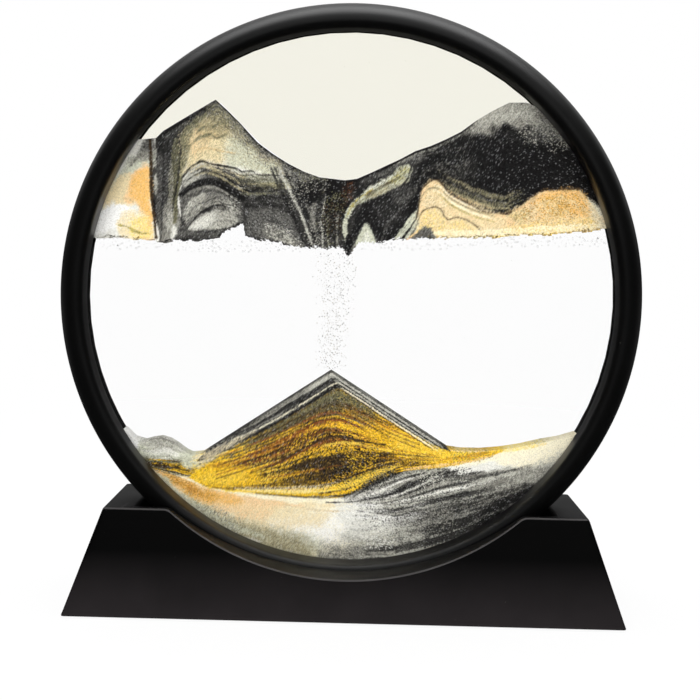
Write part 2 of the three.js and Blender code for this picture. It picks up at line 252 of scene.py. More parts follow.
def moulded_black(name, shade, gloss, mottle, grain, dust, mirror, painted_shade_top=None):
    """A dark moulding: its shade, roughness, sizes of mottle and grain, dust, and how much it mirrors.

    With a top shade, the colour falls to it between two heights: painted light at the foot, painted shade
    above."""
    material, tree = new_finish(name)
    cloudy = tree.noise(mottle, 4)
    specks = tree.noise(SPECK_SIZE, 2).above(1 - dust)
    dark = tree.blend(cloudy, *(rgba(*(v * level for v in shade)) for level in MOTTLE_SHADES))
    # Painted light and shade: the colour is pale at the foot, as if lit by the table, and falls to the top
    # shade higher up
    if painted_shade_top:
        height = tree.axis(tree.node("ShaderNodeTexCoord", out="Object"), "Z")
        fade = tree.share(height, PAINTED_LIGHT_HEIGHTS[0] * MM, PAINTED_LIGHT_HEIGHTS[1] * MM)
        dark = tree.blend(fade, dark, rgba(*painted_shade_top))
    colour = tree.blend(specks * SPECK_SHARE, dark, rgba(*SPECK_GREY))
    shader = tree.node("ShaderNodeBsdfPrincipled", {}, {
        "Base Color": colour,
        "Roughness": gloss + cloudy * MOTTLE_BLUR + specks * SPECK_BLUR,
        "Normal": tree.bump(tree.noise(grain, 3), GRAIN_DEPTH, GRAIN_STRENGTH),
        "Specular IOR Level": mirror,
    })
    tree.finish(shader)
    return material


PLASTIC = {"mottle": 16, "grain": 0.35, "dust": 0.2}
RUBBER = {"mottle": 3, "grain": 0.4, "dust": 0.22}
RING_BLACK = moulded_black("ring_black", (5, 5, 5), gloss=0.34, mirror=0.45, **PLASTIC)
# The base: its colour is painted paler at the foot and nearly black above, as painted light from the table
BASE_BLACK_PAINTED_LIGHT = moulded_black("base_black_painted_light", (34, 31, 32), gloss=0.4, mirror=0.05, painted_shade_top=(4, 4, 4), **PLASTIC)
# Its own shade of black for the base's top faces, which catch the light from above: painted shade
LEDGE_SHADE_BLACK = moulded_black("ledge_painted_shade", (9, 8, 8), gloss=0.42, mirror=0.16, **PLASTIC)
# A paler grey on the top edges of the base: a painted highlight line
EDGE_HIGHLIGHT_GREY = moulded_black("painted_edge_highlight", (54, 52, 52), gloss=0.34, mottle=8, grain=0.35, dust=0.2, mirror=0.3)
MATT_BLACK = moulded_black("matt_black", (20, 19, 19), gloss=0.7, mottle=6, grain=0.3, dust=0.2, mirror=0.08)
PAD_RUBBER = moulded_black("pad_rubber", (40, 40, 40), gloss=0.72, mirror=0.3, **RUBBER)
SEAL_RUBBER = moulded_black("seal_rubber", (34, 34, 34), gloss=0.7, mirror=0.1, **RUBBER)
blacks = (RING_BLACK, BASE_BLACK_PAINTED_LIGHT, LEDGE_SHADE_BLACK, EDGE_HIGHLIGHT_GREY, MATT_BLACK, PAD_RUBBER, SEAL_RUBBER)
print("black finishes:", [finish.name for finish in blacks])


# %% [markdown]
# ## The two half rings
# Each half ring is a revolved moulding: a full, rounded outside, a small rounded edge at the window, and
# inside it the shoulder that clamps the glass. A modifier could spin the section, but the section is short
# and its rounds are arcs, so the points are worked out and joined to quads directly. The rear one opens
# outwards in a bevel, which the front view never shows. A small port at the top, closed by a plug, is where
# such a cell is filled.

# %% Make meshes from points in millimetres
MERGE = 0.002


def new_piece(name, points, faces, material, sharp=30):
    """A mesh object from points in millimetres, smooth except at edges sharper than that many degrees."""
    mesh = bpy.data.meshes.new(name)
    mesh.from_pydata([tuple(p) for p in np.asarray(points, float) * MM], [], faces)
    work = bmesh.new()
    work.from_mesh(mesh)
    bmesh.ops.remove_doubles(work, verts=work.verts, dist=MERGE * MM)
    bmesh.ops.recalc_face_normals(work, faces=work.faces)
    work.to_mesh(mesh)
    work.free()
    mesh.shade_smooth()
    mesh.set_sharp_from_angle(angle=radians(sharp))
    mesh.materials.append(material)
    return new_object(name, mesh)


def modified_mesh(made):
    """A plain mesh of what an object's modifiers make of it."""
    graph = bpy.context.evaluated_depsgraph_get()
    return bpy.data.meshes.new_from_object(made.evaluated_get(graph))


def place(made, body, slot, *replaced):
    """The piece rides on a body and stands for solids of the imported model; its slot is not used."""
    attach(made, body)
    if replaced:
        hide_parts(*replaced)
    size = [round(v / MM, 1) for v in made.dimensions]
    print(made.name, "rides on", body, size, "mm,", len(made.data.polygons), "faces")


def arc(centre, radii, first, last, steps):
    """Points on an arc of an ellipse, from one angle to another in degrees, counted from the first axis."""
    turns = np.radians(np.linspace(first, last, steps + 1))
    return [(centre[0] + radii[0] * cos(a), centre[1] + radii[1] * sin(a)) for a in turns]


# %% The sections of the two half rings
RING_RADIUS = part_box("front_ring")[1].x / MM
RING_HALF = -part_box("front_ring")[0].y / MM
SEAM = 0.15
SEAM_ROUND = 0.35
CREST_INSET = 7
EDGE_ROUND = 2
FRONT_WINDOW, REAR_WINDOW = 81, 83.1
REAR_CREST = (85.5, 11.67)
WINDOW_ROUND = 0.4
BEVEL_ROUND = (0.29, 0.77)
REBATE_RADIUS = 86
SHOULDER_HALF = 5.3
# First angle, last angle and steps of each arc
SEAM_ARC, EDGE_ARC = (-90, -30, 3), (100, 180, 7)
FRONT_ARC, REAR_ARC = (5, 90, 26), (5, 62, 18)

crest = RING_RADIUS - CREST_INSET
seam_edge = arc((RING_RADIUS - SEAM_ROUND, SEAM + SEAM_ROUND), (SEAM_ROUND, SEAM_ROUND), *SEAM_ARC)
rebate = [(REBATE_RADIUS, SHOULDER_HALF), (REBATE_RADIUS, SEAM)]


def rounded_corner(before, corner, after, steps=5):
    """A curve that rounds off the corner between two points."""
    a, b, c = (np.array(p) for p in (before, corner, after))
    return [tuple((1 - t) ** 2 * a + 2 * t * (1 - t) * b + t * t * c) for t in np.linspace(0, 1, steps + 1)]


front_section = [
    *seam_edge,
    *arc((crest, 0), (CREST_INSET, RING_HALF), *FRONT_ARC),
    *arc((crest, RING_HALF - EDGE_ROUND), (EDGE_ROUND, EDGE_ROUND), *EDGE_ARC),
    *rounded_corner((FRONT_WINDOW, SHOULDER_HALF + WINDOW_ROUND), (FRONT_WINDOW, SHOULDER_HALF),
                    (FRONT_WINDOW + WINDOW_ROUND, SHOULDER_HALF), 3),
    *rebate,
]
rear_flank = arc((crest, 0), (CREST_INSET, RING_HALF), *REAR_ARC)
bevel_top = (REAR_CREST[0] - BEVEL_ROUND[0], REAR_CREST[1] - BEVEL_ROUND[1])
rear_section = [
    *seam_edge, *rear_flank, *rounded_corner(rear_flank[-1], REAR_CREST, bevel_top)[1:],
    (REAR_WINDOW, SHOULDER_HALF), *rebate,
]
print("half rings: radius", round(RING_RADIUS, 2), "depth", round(RING_HALF, 2), "mm,",
      len(front_section), "and", len(rear_section), "points")


# %% Revolve the sections and drill the filling port
def revolved(section, side, sides):
    """Points and faces of a closed section turned about the ring's axis; side is -1 in front and 1 behind."""
    turns = np.linspace(0, 2 * np.pi, sides, endpoint=False)
    points = [(r * cos(a), side * y, CENTRE_Z + r * sin(a)) for a in turns for r, y in section]
    count = len(section)
    faces = []
    for i in range(sides):
        here, there = i * count, (i + 1) % sides * count
        for j in range(count):
            after = (j + 1) % count
            faces.append((here + j, here + after, there + after, there + j))
    return points, faces


def drilled(made, radius, low, high, sides=32):
    """Cuts an upright hole at the ring's top into the piece."""
    turns = np.linspace(0, 2 * np.pi, sides, endpoint=False)
    points = [(radius * cos(a), radius * sin(a), CENTRE_Z + z) for z in (low, high) for a in turns]
    walls = [(i, (i + 1) % sides, (i + 1) % sides + sides, i + sides) for i in range(sides)]
    ends = [tuple(range(sides)), tuple(range(sides, 2 * sides))]
    cutter = new_piece("port_drill", points, walls + ends, MATT_BLACK)
    cut = made.modifiers.new("port", "BOOLEAN")
    cut.operation, cut.solver, cut.object = "DIFFERENCE", "EXACT", cutter
    bored = modified_mesh(made)
    made.modifiers.clear()
    made.data = bored
    bpy.data.objects.remove(cutter)


RING_SIDES = 288
PORT_RADIUS = 1.5
DRILL_BELOW, DRILL_ABOVE = 2, 1
TOUCH, RIM_SKIN = 0.01, 1
for name, side, section in (("front_ring", -1, front_section), ("rear_ring", 1, rear_section)):
    ring = new_piece(name + "_moulding", *revolved(section, side, RING_SIDES), RING_BLACK)
    ring.data.materials.append(MATT_BLACK)
    for face in ring.data.polygons:
        spot = face.center / MM
        from_axis = Vector((spot.x, spot.z - CENTRE_Z)).length
        face.material_index = int(abs(spot.y) < SHOULDER_HALF + TOUCH and from_axis < RING_RADIUS - RIM_SKIN)
    drilled(ring, PORT_RADIUS, REBATE_RADIUS - DRILL_BELOW, RING_RADIUS + DRILL_ABOVE)
    place(ring, "frame", "black_plastic", name)


# %% [markdown]
# ## The base
# The base is one hollow moulding. All four sides lean out, a slot with a round floor takes the ring, and in
# front of and behind the slot the top dips in an arc, so that more of the glass shows. A box with booleans
# would do it, but then the thin bright line along every edge would need a bevel that booleans often break.
# So the base is lofted: one section is worked out for each place along its length, with the small rounds
# already in it.

# %% Sizes of the base
BASE_LOW, BASE_HIGH = (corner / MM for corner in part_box("base_shell"))
BASE_FOOT_Z, BASE_TOP_Z = BASE_LOW.z, BASE_HIGH.z
FOOT_HALF_LENGTH, FOOT_HALF_DEPTH = BASE_HIGH.x, BASE_HIGH.y
END_FLARE, SIDE_FLARE = 10, 10.8
SLOT_HALF = 12.9
SLOT_GAP = 0.3
SLOT_RADIUS = RING_RADIUS + SLOT_GAP
LIP_RADIUS = 88
LIP_CENTRE_Z = 100.2
LIP_FILLET = 4
CORNER = 1.2
EDGE = 0.4
ROOF_ROUND, SLOT_ROUND = 1.6, 0.9
WALL = 2.2
TOP_HALF_LENGTH = FOOT_HALF_LENGTH - END_FLARE
TOP_HALF_DEPTH = FOOT_HALF_DEPTH - SIDE_FLARE
HEIGHT = BASE_TOP_Z - BASE_FOOT_Z
print("base", [round(v, 1) for v in (BASE_HIGH - BASE_LOW)], "mm")


# %% Heights along the base
def lowest(first, second, round_off):
    """The lower of two heights, with the corner between them rounded."""
    gap = max(round_off - abs(first - second), 0) / round_off
    return min(first, second) - gap * gap * round_off / 4


def roof_z(x):
    """The flat top, and the leaning ends."""
    return lowest(BASE_TOP_Z, BASE_TOP_Z - (abs(x) - TOP_HALF_LENGTH) * HEIGHT / END_FLARE, ROOF_ROUND)


def lip_z(x):
    """The top beside the slot, which dips in an arc and meets the flat in a fillet."""
    reach = sqrt((LIP_RADIUS + LIP_FILLET) ** 2 - (LIP_CENTRE_Z - BASE_TOP_Z + LIP_FILLET) ** 2)
    if abs(x) >= reach:
        return roof_z(x)
    if abs(x) >= reach * LIP_RADIUS / (LIP_RADIUS + LIP_FILLET):
        return BASE_TOP_Z - LIP_FILLET + sqrt(LIP_FILLET ** 2 - (reach - abs(x)) ** 2)
    return LIP_CENTRE_Z - sqrt(LIP_RADIUS ** 2 - x * x)


def slot_z(x):
    """The round floor of the slot."""
    if abs(x) >= SLOT_RADIUS:
        return roof_z(x)
    return lowest(CENTRE_Z - sqrt(SLOT_RADIUS ** 2 - x * x), roof_z(x), SLOT_ROUND)


def half_depth(x, z, wall):
    """How far the leaning front face stands out at a height, with the upright corners rounded."""
    lean = (BASE_TOP_Z - z) / HEIGHT
    depth = TOP_HALF_DEPTH + SIDE_FLARE * lean - wall
    past = abs(x) - (TOP_HALF_LENGTH + END_FLARE * lean - wall - CORNER)
    return depth if past <= 0 else depth - CORNER + sqrt(max(CORNER ** 2 - past * past, 0))


# %% One section of the base
FACE_STEPS, EDGE_STEPS, SLOT_STEPS = 12, 4, 6
LEAST = 0.02
LEAST_ROUND = LEAST / 10
INNER_ROUND = 0.5
ROUND_PART = 2.2
EDGE_START = 0.3


def base_section(x, wall=0):
    """Half of the outline at x, from the foot up the outside, over the lip and down into the slot."""
    foot = BASE_FOOT_Z
    lip = max(lip_z(x) - wall, foot + LEAST)
    floor = max(min(slot_z(x) - wall, lip), foot + LEAST)
    rise = min(EDGE, (lip - foot) / 3) if wall == 0 else LEAST / 2
    wall_y = SLOT_HALF + wall
    levels = foot + (lip - rise - foot) * np.sin(np.linspace(0, np.pi / 2, FACE_STEPS))
    points = [(half_depth(x, z, wall), z) for z in levels]
    outer = half_depth(x, lip, wall)
    room = max(outer - wall_y, LEAST) / ROUND_PART
    out_round = min(EDGE, room)
    in_round = min(INNER_ROUND, room, max((lip - floor) / ROUND_PART, LEAST_ROUND))
    turns = np.linspace(EDGE_START, np.pi / 2, EDGE_STEPS + 1)
    points += [(outer - out_round * (1 - cos(a)), lip - rise * (1 - sin(a))) for a in turns]
    points += arc((wall_y + in_round, lip - in_round), (in_round, in_round), 90, 180, EDGE_STEPS)
    points += [(wall_y, z) for z in np.linspace(lip - in_round, floor, SLOT_STEPS + 1)[1:]]
    points += [(y, floor) for y in np.linspace(wall_y, 0, 4)[1:]]
    return points


# %% Loft the sections
LIP_END, SLOT_END, END_INSET = 54.3, 64.2, 0.8
EVEN_STATIONS, BEND_STATIONS, BEND_REACH = 90, 9, 1.6


def stations(half_length):
    """Places along the base, closer together where its top bends."""
    bends = [TOP_HALF_LENGTH, LIP_END, SLOT_END, half_length - END_INSET]
    even = np.linspace(0, half_length, EVEN_STATIONS)
    fine = [b + d for b in bends for d in np.linspace(-BEND_REACH, BEND_REACH, BEND_STATIONS)]
    right = sorted({round(float(x), 4) for x in [*even, *fine] if 0 <= x <= half_length})
    return [-x for x in right[:0:-1]] + right


def lofted(places, wall, inwards):
    """Points and faces of both halves of the sections, joined from place to place."""
    points, faces = [], []
    for x in places:
        half = base_section(x, wall)
        points += [(x, -y, z) for y, z in half] + [(x, y, z) for y, z in half[-2::-1]]
    count = len(points) // len(places)
    for i in range(len(places) - 1):
        for j in range(count - 1):
            a, b = i * count + j, (i + 1) * count + j
            faces.append((a, a + 1, b + 1, b) if inwards else (a, b, b + 1, a + 1))
    return points, faces, count


places = stations(FOOT_HALF_LENGTH)
outside, outside_faces, outside_count = lofted(places, 0, False)
hollow_places = [x for x in places if abs(x) <= FOOT_HALF_LENGTH - WALL]
inside, inside_faces, inside_count = lofted(hollow_places, WALL, True)
print("base sections:", len(places), "outside,", len(hollow_places), "inside")


# %% Close the underside
def base_rim():
    """The flat rim under the walls, between the outside and the hollow."""
    shift, skipped = len(outside), places.index(hollow_places[0])
    faces = []
    for i in range(len(places) - 1):
        a, b = i * outside_count, (i + 1) * outside_count
        c, d = a + outside_count - 1, b + outside_count - 1
        k = i - skipped
        if 0 <= k < len(hollow_places) - 1:
            e, f = shift + k * inside_count, shift + (k + 1) * inside_count
            g, h = e + inside_count - 1, f + inside_count - 1
            faces += [(a, e, f, b), (g, c, d, h)]
        elif k == -1:
            e = shift
            faces.append((a, c, d, e + inside_count - 1, e, b))
        elif k == len(hollow_places) - 1:
            e = shift + k * inside_count
            faces.append((a, e, e + inside_count - 1, c, d, b))
        else:
            faces.append((a, c, d, b))
    return faces


def end_caps(first, count, sections):
    """The flat faces that close the first and the last section of a loft."""
    last = first + (sections - 1) * count
    return [tuple(range(first, first + count)), tuple(range(last, last + count))]


# %% Ribs and bosses in the hollow
RIB_COUNT, RIB_THICK, RIB_PITCH, RIB_SINK, RIB_BITE = 10, 1.6, 16, 1.0, 0.3
BOSS_RADIUS, BOSS_SIDES = 6.8, 40
PAD_GAP = 0.3


def rib(x):
    """A plate across the hollow, with the outline of the hollow at x."""
    half = [(y, max(z, BASE_FOOT_Z + RIB_SINK)) for y, z in base_section(x, WALL - RIB_BITE)]
    outline = [(-y, z) for y, z in half] + [(y, z) for y, z in half[-2::-1]]
    count = len(outline)
    points = [(x + s * RIB_THICK / 2, y, z) for s in (-1, 1) for y, z in outline]
    faces = [tuple(range(count)), tuple(range(2 * count - 1, count - 1, -1))]
    faces += [(i, i + count, (i + 1) % count + count, (i + 1) % count) for i in range(count)]
    return points, faces


def boss(x, y):
    """The round boss over a foot pad, up to the roof of the hollow."""
    turns = np.linspace(0, 2 * np.pi, BOSS_SIDES, endpoint=False)
    top = lip_z(abs(x) + BOSS_RADIUS) - WALL / 2
    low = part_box("foot_front_left")[1].z / MM + PAD_GAP
    points = []
    for z in (low, top):
        long = TOP_HALF_LENGTH + END_FLARE * (BASE_TOP_Z - z) / HEIGHT - WALL / 2
        for a in turns:
            px, py = x + BOSS_RADIUS * cos(a), y + BOSS_RADIUS * sin(a)
            px = max(-long, min(long, px))
            deep = half_depth(px, z, WALL / 2)
            points.append((px, max(-deep, min(deep, py)), z))
    count = len(turns)
    faces = [(i, (i + 1) % count, (i + 1) % count + count, i + count) for i in range(count)]
    return points, faces + [tuple(range(count - 1, -1, -1)), tuple(range(count, 2 * count))]


# %% Join the base
BASE_SHARP = 35
LIP_TOUCH = 0.1
base_points = outside + inside
base_faces = outside_faces + [tuple(v + len(outside) for v in f) for f in inside_faces] + base_rim()
base_faces += end_caps(0, outside_count, len(places))
base_faces += end_caps(len(outside), inside_count, len(hollow_places))
ribs = [rib((i - (RIB_COUNT - 1) / 2) * RIB_PITCH) for i in range(RIB_COUNT)]
pads = [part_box(name) for name in nodes if name.startswith("foot_")]
bosses = [boss(*((low + high) / 2 / MM)[:2]) for low, high in pads]
for points, faces in ribs + bosses:
    base_faces += [tuple(v + len(base_points) for v in f) for f in faces]
    base_points += points
base = new_piece("base_moulding", base_points, base_faces, BASE_BLACK_PAINTED_LIGHT, BASE_SHARP)
base.data.materials.append(EDGE_HIGHLIGHT_GREY)
base.data.materials.append(LEDGE_SHADE_BLACK)
# On top, the edges take the painted highlight grey and the other faces the ledge black with its painted shade
for face in base.data.polygons:
    spot = face.center / MM
    under_lip = lip_z(spot.x) - spot.z
    from_front = half_depth(spot.x, spot.z, 0) - abs(spot.y)
    on_top = -LIP_TOUCH < under_lip < EDGE and abs(spot.x) < TOP_HALF_LENGTH
    face.material_index = (1 if from_front < EDGE else 2) if on_top else 0
place(base, "base", "black_plastic", "base_shell")

# %% [markdown]
# ## The clear cell
# Two glass discs, a spacer and seals make the cell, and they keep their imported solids. Bent light through
# glass takes many samples and adds little in a flat cell, so the glass only lets light pass and mirrors a
# share that grows towards the edge, which is what the eye sees of it. A faint film of smudges makes that
# share uneven.

# %% Glass and liquid
WHITE_LIGHT = (255, 255, 255)
SMUDGE_SIZE = 14
RIM_POWER = 5


def see_through(tree, share, tint, shine, roughness):
    """Lets light pass with a tint, and mirrors a share of it with a shine of its own."""
    passing = tree.node("ShaderNodeBsdfTransparent", {}, {"Color": rgba(*tint)})
    gloss = tree.node("ShaderNodeBsdfGlossy", {}, {"Color": rgba(*shine), "Roughness": roughness})
    tree.finish(tree.node("ShaderNodeMixShader", {}, {0: share, 1: passing, 2: gloss}))


def facing_away(tree):
    """0 where a surface faces the viewer, up to 1 where it is seen from the side."""
    return tree.node("ShaderNodeLayerWeight", {}, {"Blend": 0.5}, out="Facing")


def clear_finish(name, tint, mirror, rim, smudge, roughness):
    """A clear body: its tint, what it mirrors face on, how much more towards its rim, smudges and blur."""
    material, tree = new_finish(name)
    share = mirror + rim * facing_away(tree) ** RIM_POWER + smudge * tree.noise(SMUDGE_SIZE, 4)
    see_through(tree, share, tint, WHITE_LIGHT, roughness)
    return material


CLEAR_GLASS = clear_finish("clear_glass", WHITE_LIGHT, mirror=0.003, rim=0.5, smudge=0.003, roughness=0.05)
UPPER_LIQUID = clear_finish("upper_liquid", (250, 249, 243), mirror=0.002, rim=0, smudge=0.003, roughness=0.3)
LOWER_LIQUID = clear_finish("lower_liquid", WHITE_LIGHT, mirror=0.001, rim=0, smudge=0.001, roughness=0.3)

kept = {
    "front_glass": CLEAR_GLASS, "rear_glass": CLEAR_GLASS, "liquid_above": UPPER_LIQUID,
    "liquid_below": LOWER_LIQUID, "cell_spacer": MATT_BLACK, "front_seal": SEAL_RUBBER,
    "rear_seal": SEAL_RUBBER, "port_plug": SEAL_RUBBER,
}
kept.update({name: PAD_RUBBER for name in nodes if name.startswith("foot_")})
for name, material in kept.items():
    nodes[name].material_slots[0].material = material
print("kept solids with new finishes:", len(kept))

# %% [markdown]
# ## The sand: where each bank lies
# Sand of several colours has run down, mixed in layers and settled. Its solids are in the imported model, but
# their smooth walls look cut with a knife. A volume of real grains would be far too heavy, so the two faces
# of the cell get a fine net of cells, each about one grain wide. Its columns hang from the drawn crests, so
# a crest runs clean, while the underside ends where the cells do and comes out ragged. A cell belongs to
# the bank whose solid is nearest.

# %% The outlines of the upper and the lower sand
# Lines on the sand are drawn in pixels of the picture, as "x,y" pairs.
UPPER_CREST = (
    "80,142 147,140 158,139 165,132 190,117 217,101 228,111 240,123 258,143 274,155 290,165 305,172.5 320,178"
    " 345,181 357,179.5 372,173 400,160 415,152 430,147 445,140.5 460,133 475,122 490,113 508,104 525,104"
    " 545,112 570,125 640,160"
)
UPPER_UNDERSIDE = (
    "80,237 100,238 118,236 137,238 155,240 168,241 178,239 200,239 218,238 222,232 228,229 233,227 238,223"
    " 244,222 246,234 260,238.5 280,242 300,246 310,248 318,246 330,249 340,247 345,251 349,255 352,252"
    " 356,245 362,241 380,242 400,239 414,239 424,236.5 433,238 460,236 480,237 520,235 560,233 590,230"
    " 607,227 640,226"
)
LOWER_CREST = (
    "80,415 126,428 135,437 145,440 152,438 161,436.5 170,439 178,444 186,450 192,453 203,452 331,370.5"
    " 441,443 447,447 460,449 480,449.5 500,448 520,445 540,440.5 560,437 577,432 583,429 640,412"
)


def drawn_points(drawn):
    return np.array([[float(v) for v in pair.split(",")] for pair in drawn.split()])


def shifted(drawn, across=0, down=0):
    """A drawn line, moved by some pixels."""
    return " ".join(f"{x + across},{y + down}" for x, y in drawn_points(drawn))


def height_of(drawn, x):
    """The height of a drawn line at x, which is straight between its points."""
    points = drawn_points(drawn)
    return np.interp(x, points[:, 0], points[:, 1])


# %% Soft noise for borders and layers
NOISE_SIDE = 128
NOISE_SHIFT = (31.7, 11.3)
SEED_STEP = 17


def cloud(x, y, seed, octaves=3):
    """Noise from 0 to 1 with lumps about one unit wide: random numbers on a net, and finer copies."""
    total, weight = 0, 0
    for k in range(octaves):
        net = np.random.default_rng(seed * SEED_STEP + k).random((NOISE_SIDE, NOISE_SIDE))
        u, v = x * 2 ** k + NOISE_SHIFT[0] * k, y * 2 ** k + NOISE_SHIFT[1] * k
        i, j = np.floor(u).astype(int), np.floor(v).astype(int)
        a, b = u - i, v - j
        a, b = a * a * (3 - 2 * a), b * b * (3 - 2 * b)
        i, j, next_i, next_j = (v % NOISE_SIDE for v in (i, j, i + 1, j + 1))
        low = net[i, j] * (1 - a) + net[next_i, j] * a
        high = net[i, next_j] * (1 - a) + net[next_i, next_j] * a
        total, weight = total + (low * (1 - b) + high * b) * 0.5 ** k, weight + 0.5 ** k
    return total / weight


# %% A net of cells that hangs from the two crests
SAND_RADIUS = 82.3
SAND_HALF = 2.9
CELL = 0.28
SEED = 5
LOWER_DEPTH, UPPER_DEPTH = 63, 46
SHAKE, CREST_SHAKE = 0.22, 0.07
RAGGED_GRAIN, RAGGED_DEPTH, RAGGED_LUMP, RAGGED_SEED = 1.7, 5, 5, 3

columns = int(2 * SAND_RADIUS / CELL) + 2
column_x = (np.arange(columns) - (columns - 1) / 2) * CELL


def hanging_rows(drawn, depth):
    """Heights over the ring's centre of net points in columns that hang from a drawn line, lowest first."""
    line = np.array([in_cell(x, y) for x, y in drawn_points(drawn)])
    top = np.interp(column_x, line[:, 0], line[:, 2] - CENTRE_Z)
    return top[:, None] - CELL * np.arange(int(depth / CELL))[::-1]


lower_z, upper_z = hanging_rows(LOWER_CREST, LOWER_DEPTH), hanging_rows(UPPER_CREST, UPPER_DEPTH)
lower_rows = lower_z.shape[1]
net_z = np.hstack([lower_z, upper_z])
net_x = np.repeat(column_x[:, None], net_z.shape[1], axis=1)
shake = np.full(net_z.shape[1], SHAKE * CELL)
shake[[lower_rows - 1, -1]] = CREST_SHAKE * CELL
chance = np.random.default_rng(SEED)
net_x, net_z = (values + shake * chance.uniform(-1, 1, values.shape) for values in (net_x, net_z))
pull = np.minimum(1, SAND_RADIUS / np.hypot(net_x, net_z))
net_x, net_z = net_x * pull, net_z * pull


def middle(values):
    return (values[:-1, :-1] + values[1:, :-1] + values[:-1, 1:] + values[1:, 1:]) / 4


cell_x, cell_z = middle(net_x), middle(net_z)
across, down = in_picture(np.stack([cell_x, 0 * cell_x, cell_z + CENTRE_Z], axis=-1))
lumps = cloud(across / RAGGED_LUMP, down / RAGGED_LUMP, RAGGED_SEED) - 0.5
ragged = chance.uniform(-RAGGED_GRAIN, RAGGED_GRAIN, down.shape) + RAGGED_DEPTH * lumps
row = np.arange(cell_z.shape[1])
is_upper = (row >= lower_rows) & (down < height_of(UPPER_UNDERSIDE, across) + ragged)
is_lower = np.broadcast_to(row < lower_rows - 1, down.shape)
is_sand = (is_upper | is_lower) & (np.hypot(cell_x, cell_z) < SAND_RADIUS - CELL / 4)
print("sand cells:", int(is_sand.sum()), "of", is_sand.size)

# %% Which bank each cell belongs to
SAND_NODES = {
    "upper_black_sand": "black_sand", "upper_left_gold": "peach_sand", "upper_right_gold": "peach_sand",
    "lower_black_cap": "black_sand", "lower_gold_sand": "gold_sand", "lower_left_dune": "grey_sand",
    "lower_white_basin": "white_sand", "lower_grey_drift": "grey_sand",
}
corners, triangles, owner = [], [], []
for k, name in enumerate(SAND_NODES):
    mesh = nodes[name].data
    triangles += [[len(corners) + v for v in p.vertices] for p in mesh.polygons]
    owner += [k] * len(mesh.polygons)
    corners += [v.co / MM for v in mesh.vertices]
solids = BVHTree.FromPolygons(corners, triangles)
bank = np.full(is_sand.shape, -1)
for i, j in np.argwhere(is_sand):
    nearest = solids.find_nearest((cell_x[i, j], 0, cell_z[i, j] + CENTRE_Z))
    bank[i, j] = owner[nearest[2]]
print("cells in each bank:", {name: int((bank == k).sum()) for k, name in enumerate(SAND_NODES)})

# %% [markdown]
# ## The sand: painting its layers
# Marbled sand could be a pattern of shader noise, but noise knows nothing of slopes and layers. So the
# colours are painted on the net as a sand artist would pour them: a ground colour, broad patches, then thin
# layers and streaks, each from a small palette. Grains don't blend as paint does, so where two colours
# meet, each grain takes one of them by chance. The result is stored on the points as a colour attribute.

# %% The palette: colour, and how much single grains differ
def sand(red, green, blue, speckle):
    return np.array([red, green, blue, speckle])


INK = sand(20, 19, 19, 0.75)
CHARCOAL = sand(46, 45, 43, 0.8)
SLATE = sand(89, 88, 84, 0.85)
ASH = sand(134, 132, 123, 0.7)
SILVER = sand(187, 186, 174, 0.36)
CHALK = sand(234, 233, 224, 0.1)
WHITE = sand(254, 253, 249, 0.03)
CREAM = sand(251, 243, 214, 0.05)
STRAW = sand(240, 222, 178, 0.1)
TAN = sand(200, 174, 128, 0.42)
PEACH = sand(242, 206, 156, 0.1)
ORANGE = sand(240, 186, 102, 0.14)
YELLOW = sand(247, 212, 84, 0.16)
GOLD = sand(232, 184, 40, 0.5)
OCHRE = sand(184, 130, 26, 0.55)
RUST = sand(124, 66, 30, 0.6)
UMBER = sand(56, 42, 26, 0.75)
OLIVE = sand(102, 100, 76, 0.7)
MOSS = sand(150, 138, 66, 0.6)
KHAKI = sand(158, 149, 116, 0.5)
SAGE = sand(203, 205, 183, 0.24)


# %% Lines and outlines on the picture
def smooth_line(drawn, closed=False, steps=6):
    """A smooth line through drawn points, or round an outline."""
    points = drawn_points(drawn)
    if closed:
        ends = np.vstack([points[-1:], points, points[:2]])
    else:
        ends = np.vstack([2 * points[0] - points[1], points, 2 * points[-1] - points[-2]])
    t = np.linspace(0, 1, steps, endpoint=False)[:, None]
    bends = [
        b + 0.5 * ((c - a) * t + (2 * a - 5 * b + 4 * c - d) * t ** 2 + (3 * b - a - 3 * c + d) * t ** 3)
        for a, b, c, d in zip(ends, ends[1:], ends[2:], ends[3:])
    ]
    return np.vstack(bends + [ends[-2:-1]])


def line_distance(x, y, line):
    """Distance from each point to a line, and how far along it the nearest place is, from 0 to 1."""
    best, along = np.full(len(x), 1e9), np.zeros(len(x))
    for k, ((ax, ay), (bx, by)) in enumerate(zip(line, line[1:])):
        dx, dy = bx - ax, by - ay
        t = np.clip(((x - ax) * dx + (y - ay) * dy) / max(dx * dx + dy * dy, 1e-9), 0, 1)
        distance = np.hypot(x - ax - t * dx, y - ay - t * dy)
        closer = distance < best
        best[closer] = distance[closer]
        along[closer] = (k + t[closer]) / (len(line) - 1)
    return best, along


def is_inside(x, y, outline):
    """Which points lie inside a closed outline."""
    inside = np.zeros(len(x), bool)
    for (ax, ay), (bx, by) in zip(outline, np.roll(outline, -1, axis=0)):
        if ay != by:
            inside ^= ((ay > y) != (by > y)) & (x < (bx - ax) * (y - ay) / (by - ay) + ax)
    return inside


# %% A painter for patches, streaks and layers
UNMIXED = 0.45
WANDER_SIZE = 8
STREAK_EDGE, STREAK_MARGIN, STREAK_WAVE, TAPER_POWER = 1.1, 3, 14, 0.6
LAYER_BEND = 0.25
BAND_END = 10
STREAK_SEED, LAYER_SEED = 60, 40
# SPARKLE sets how much light is painted on a few grains as a glint
SPARKLE, SPARK_FROM, SPARK_SPAN = 0.32, 0.9, 0.1
DARKEST = 0.002


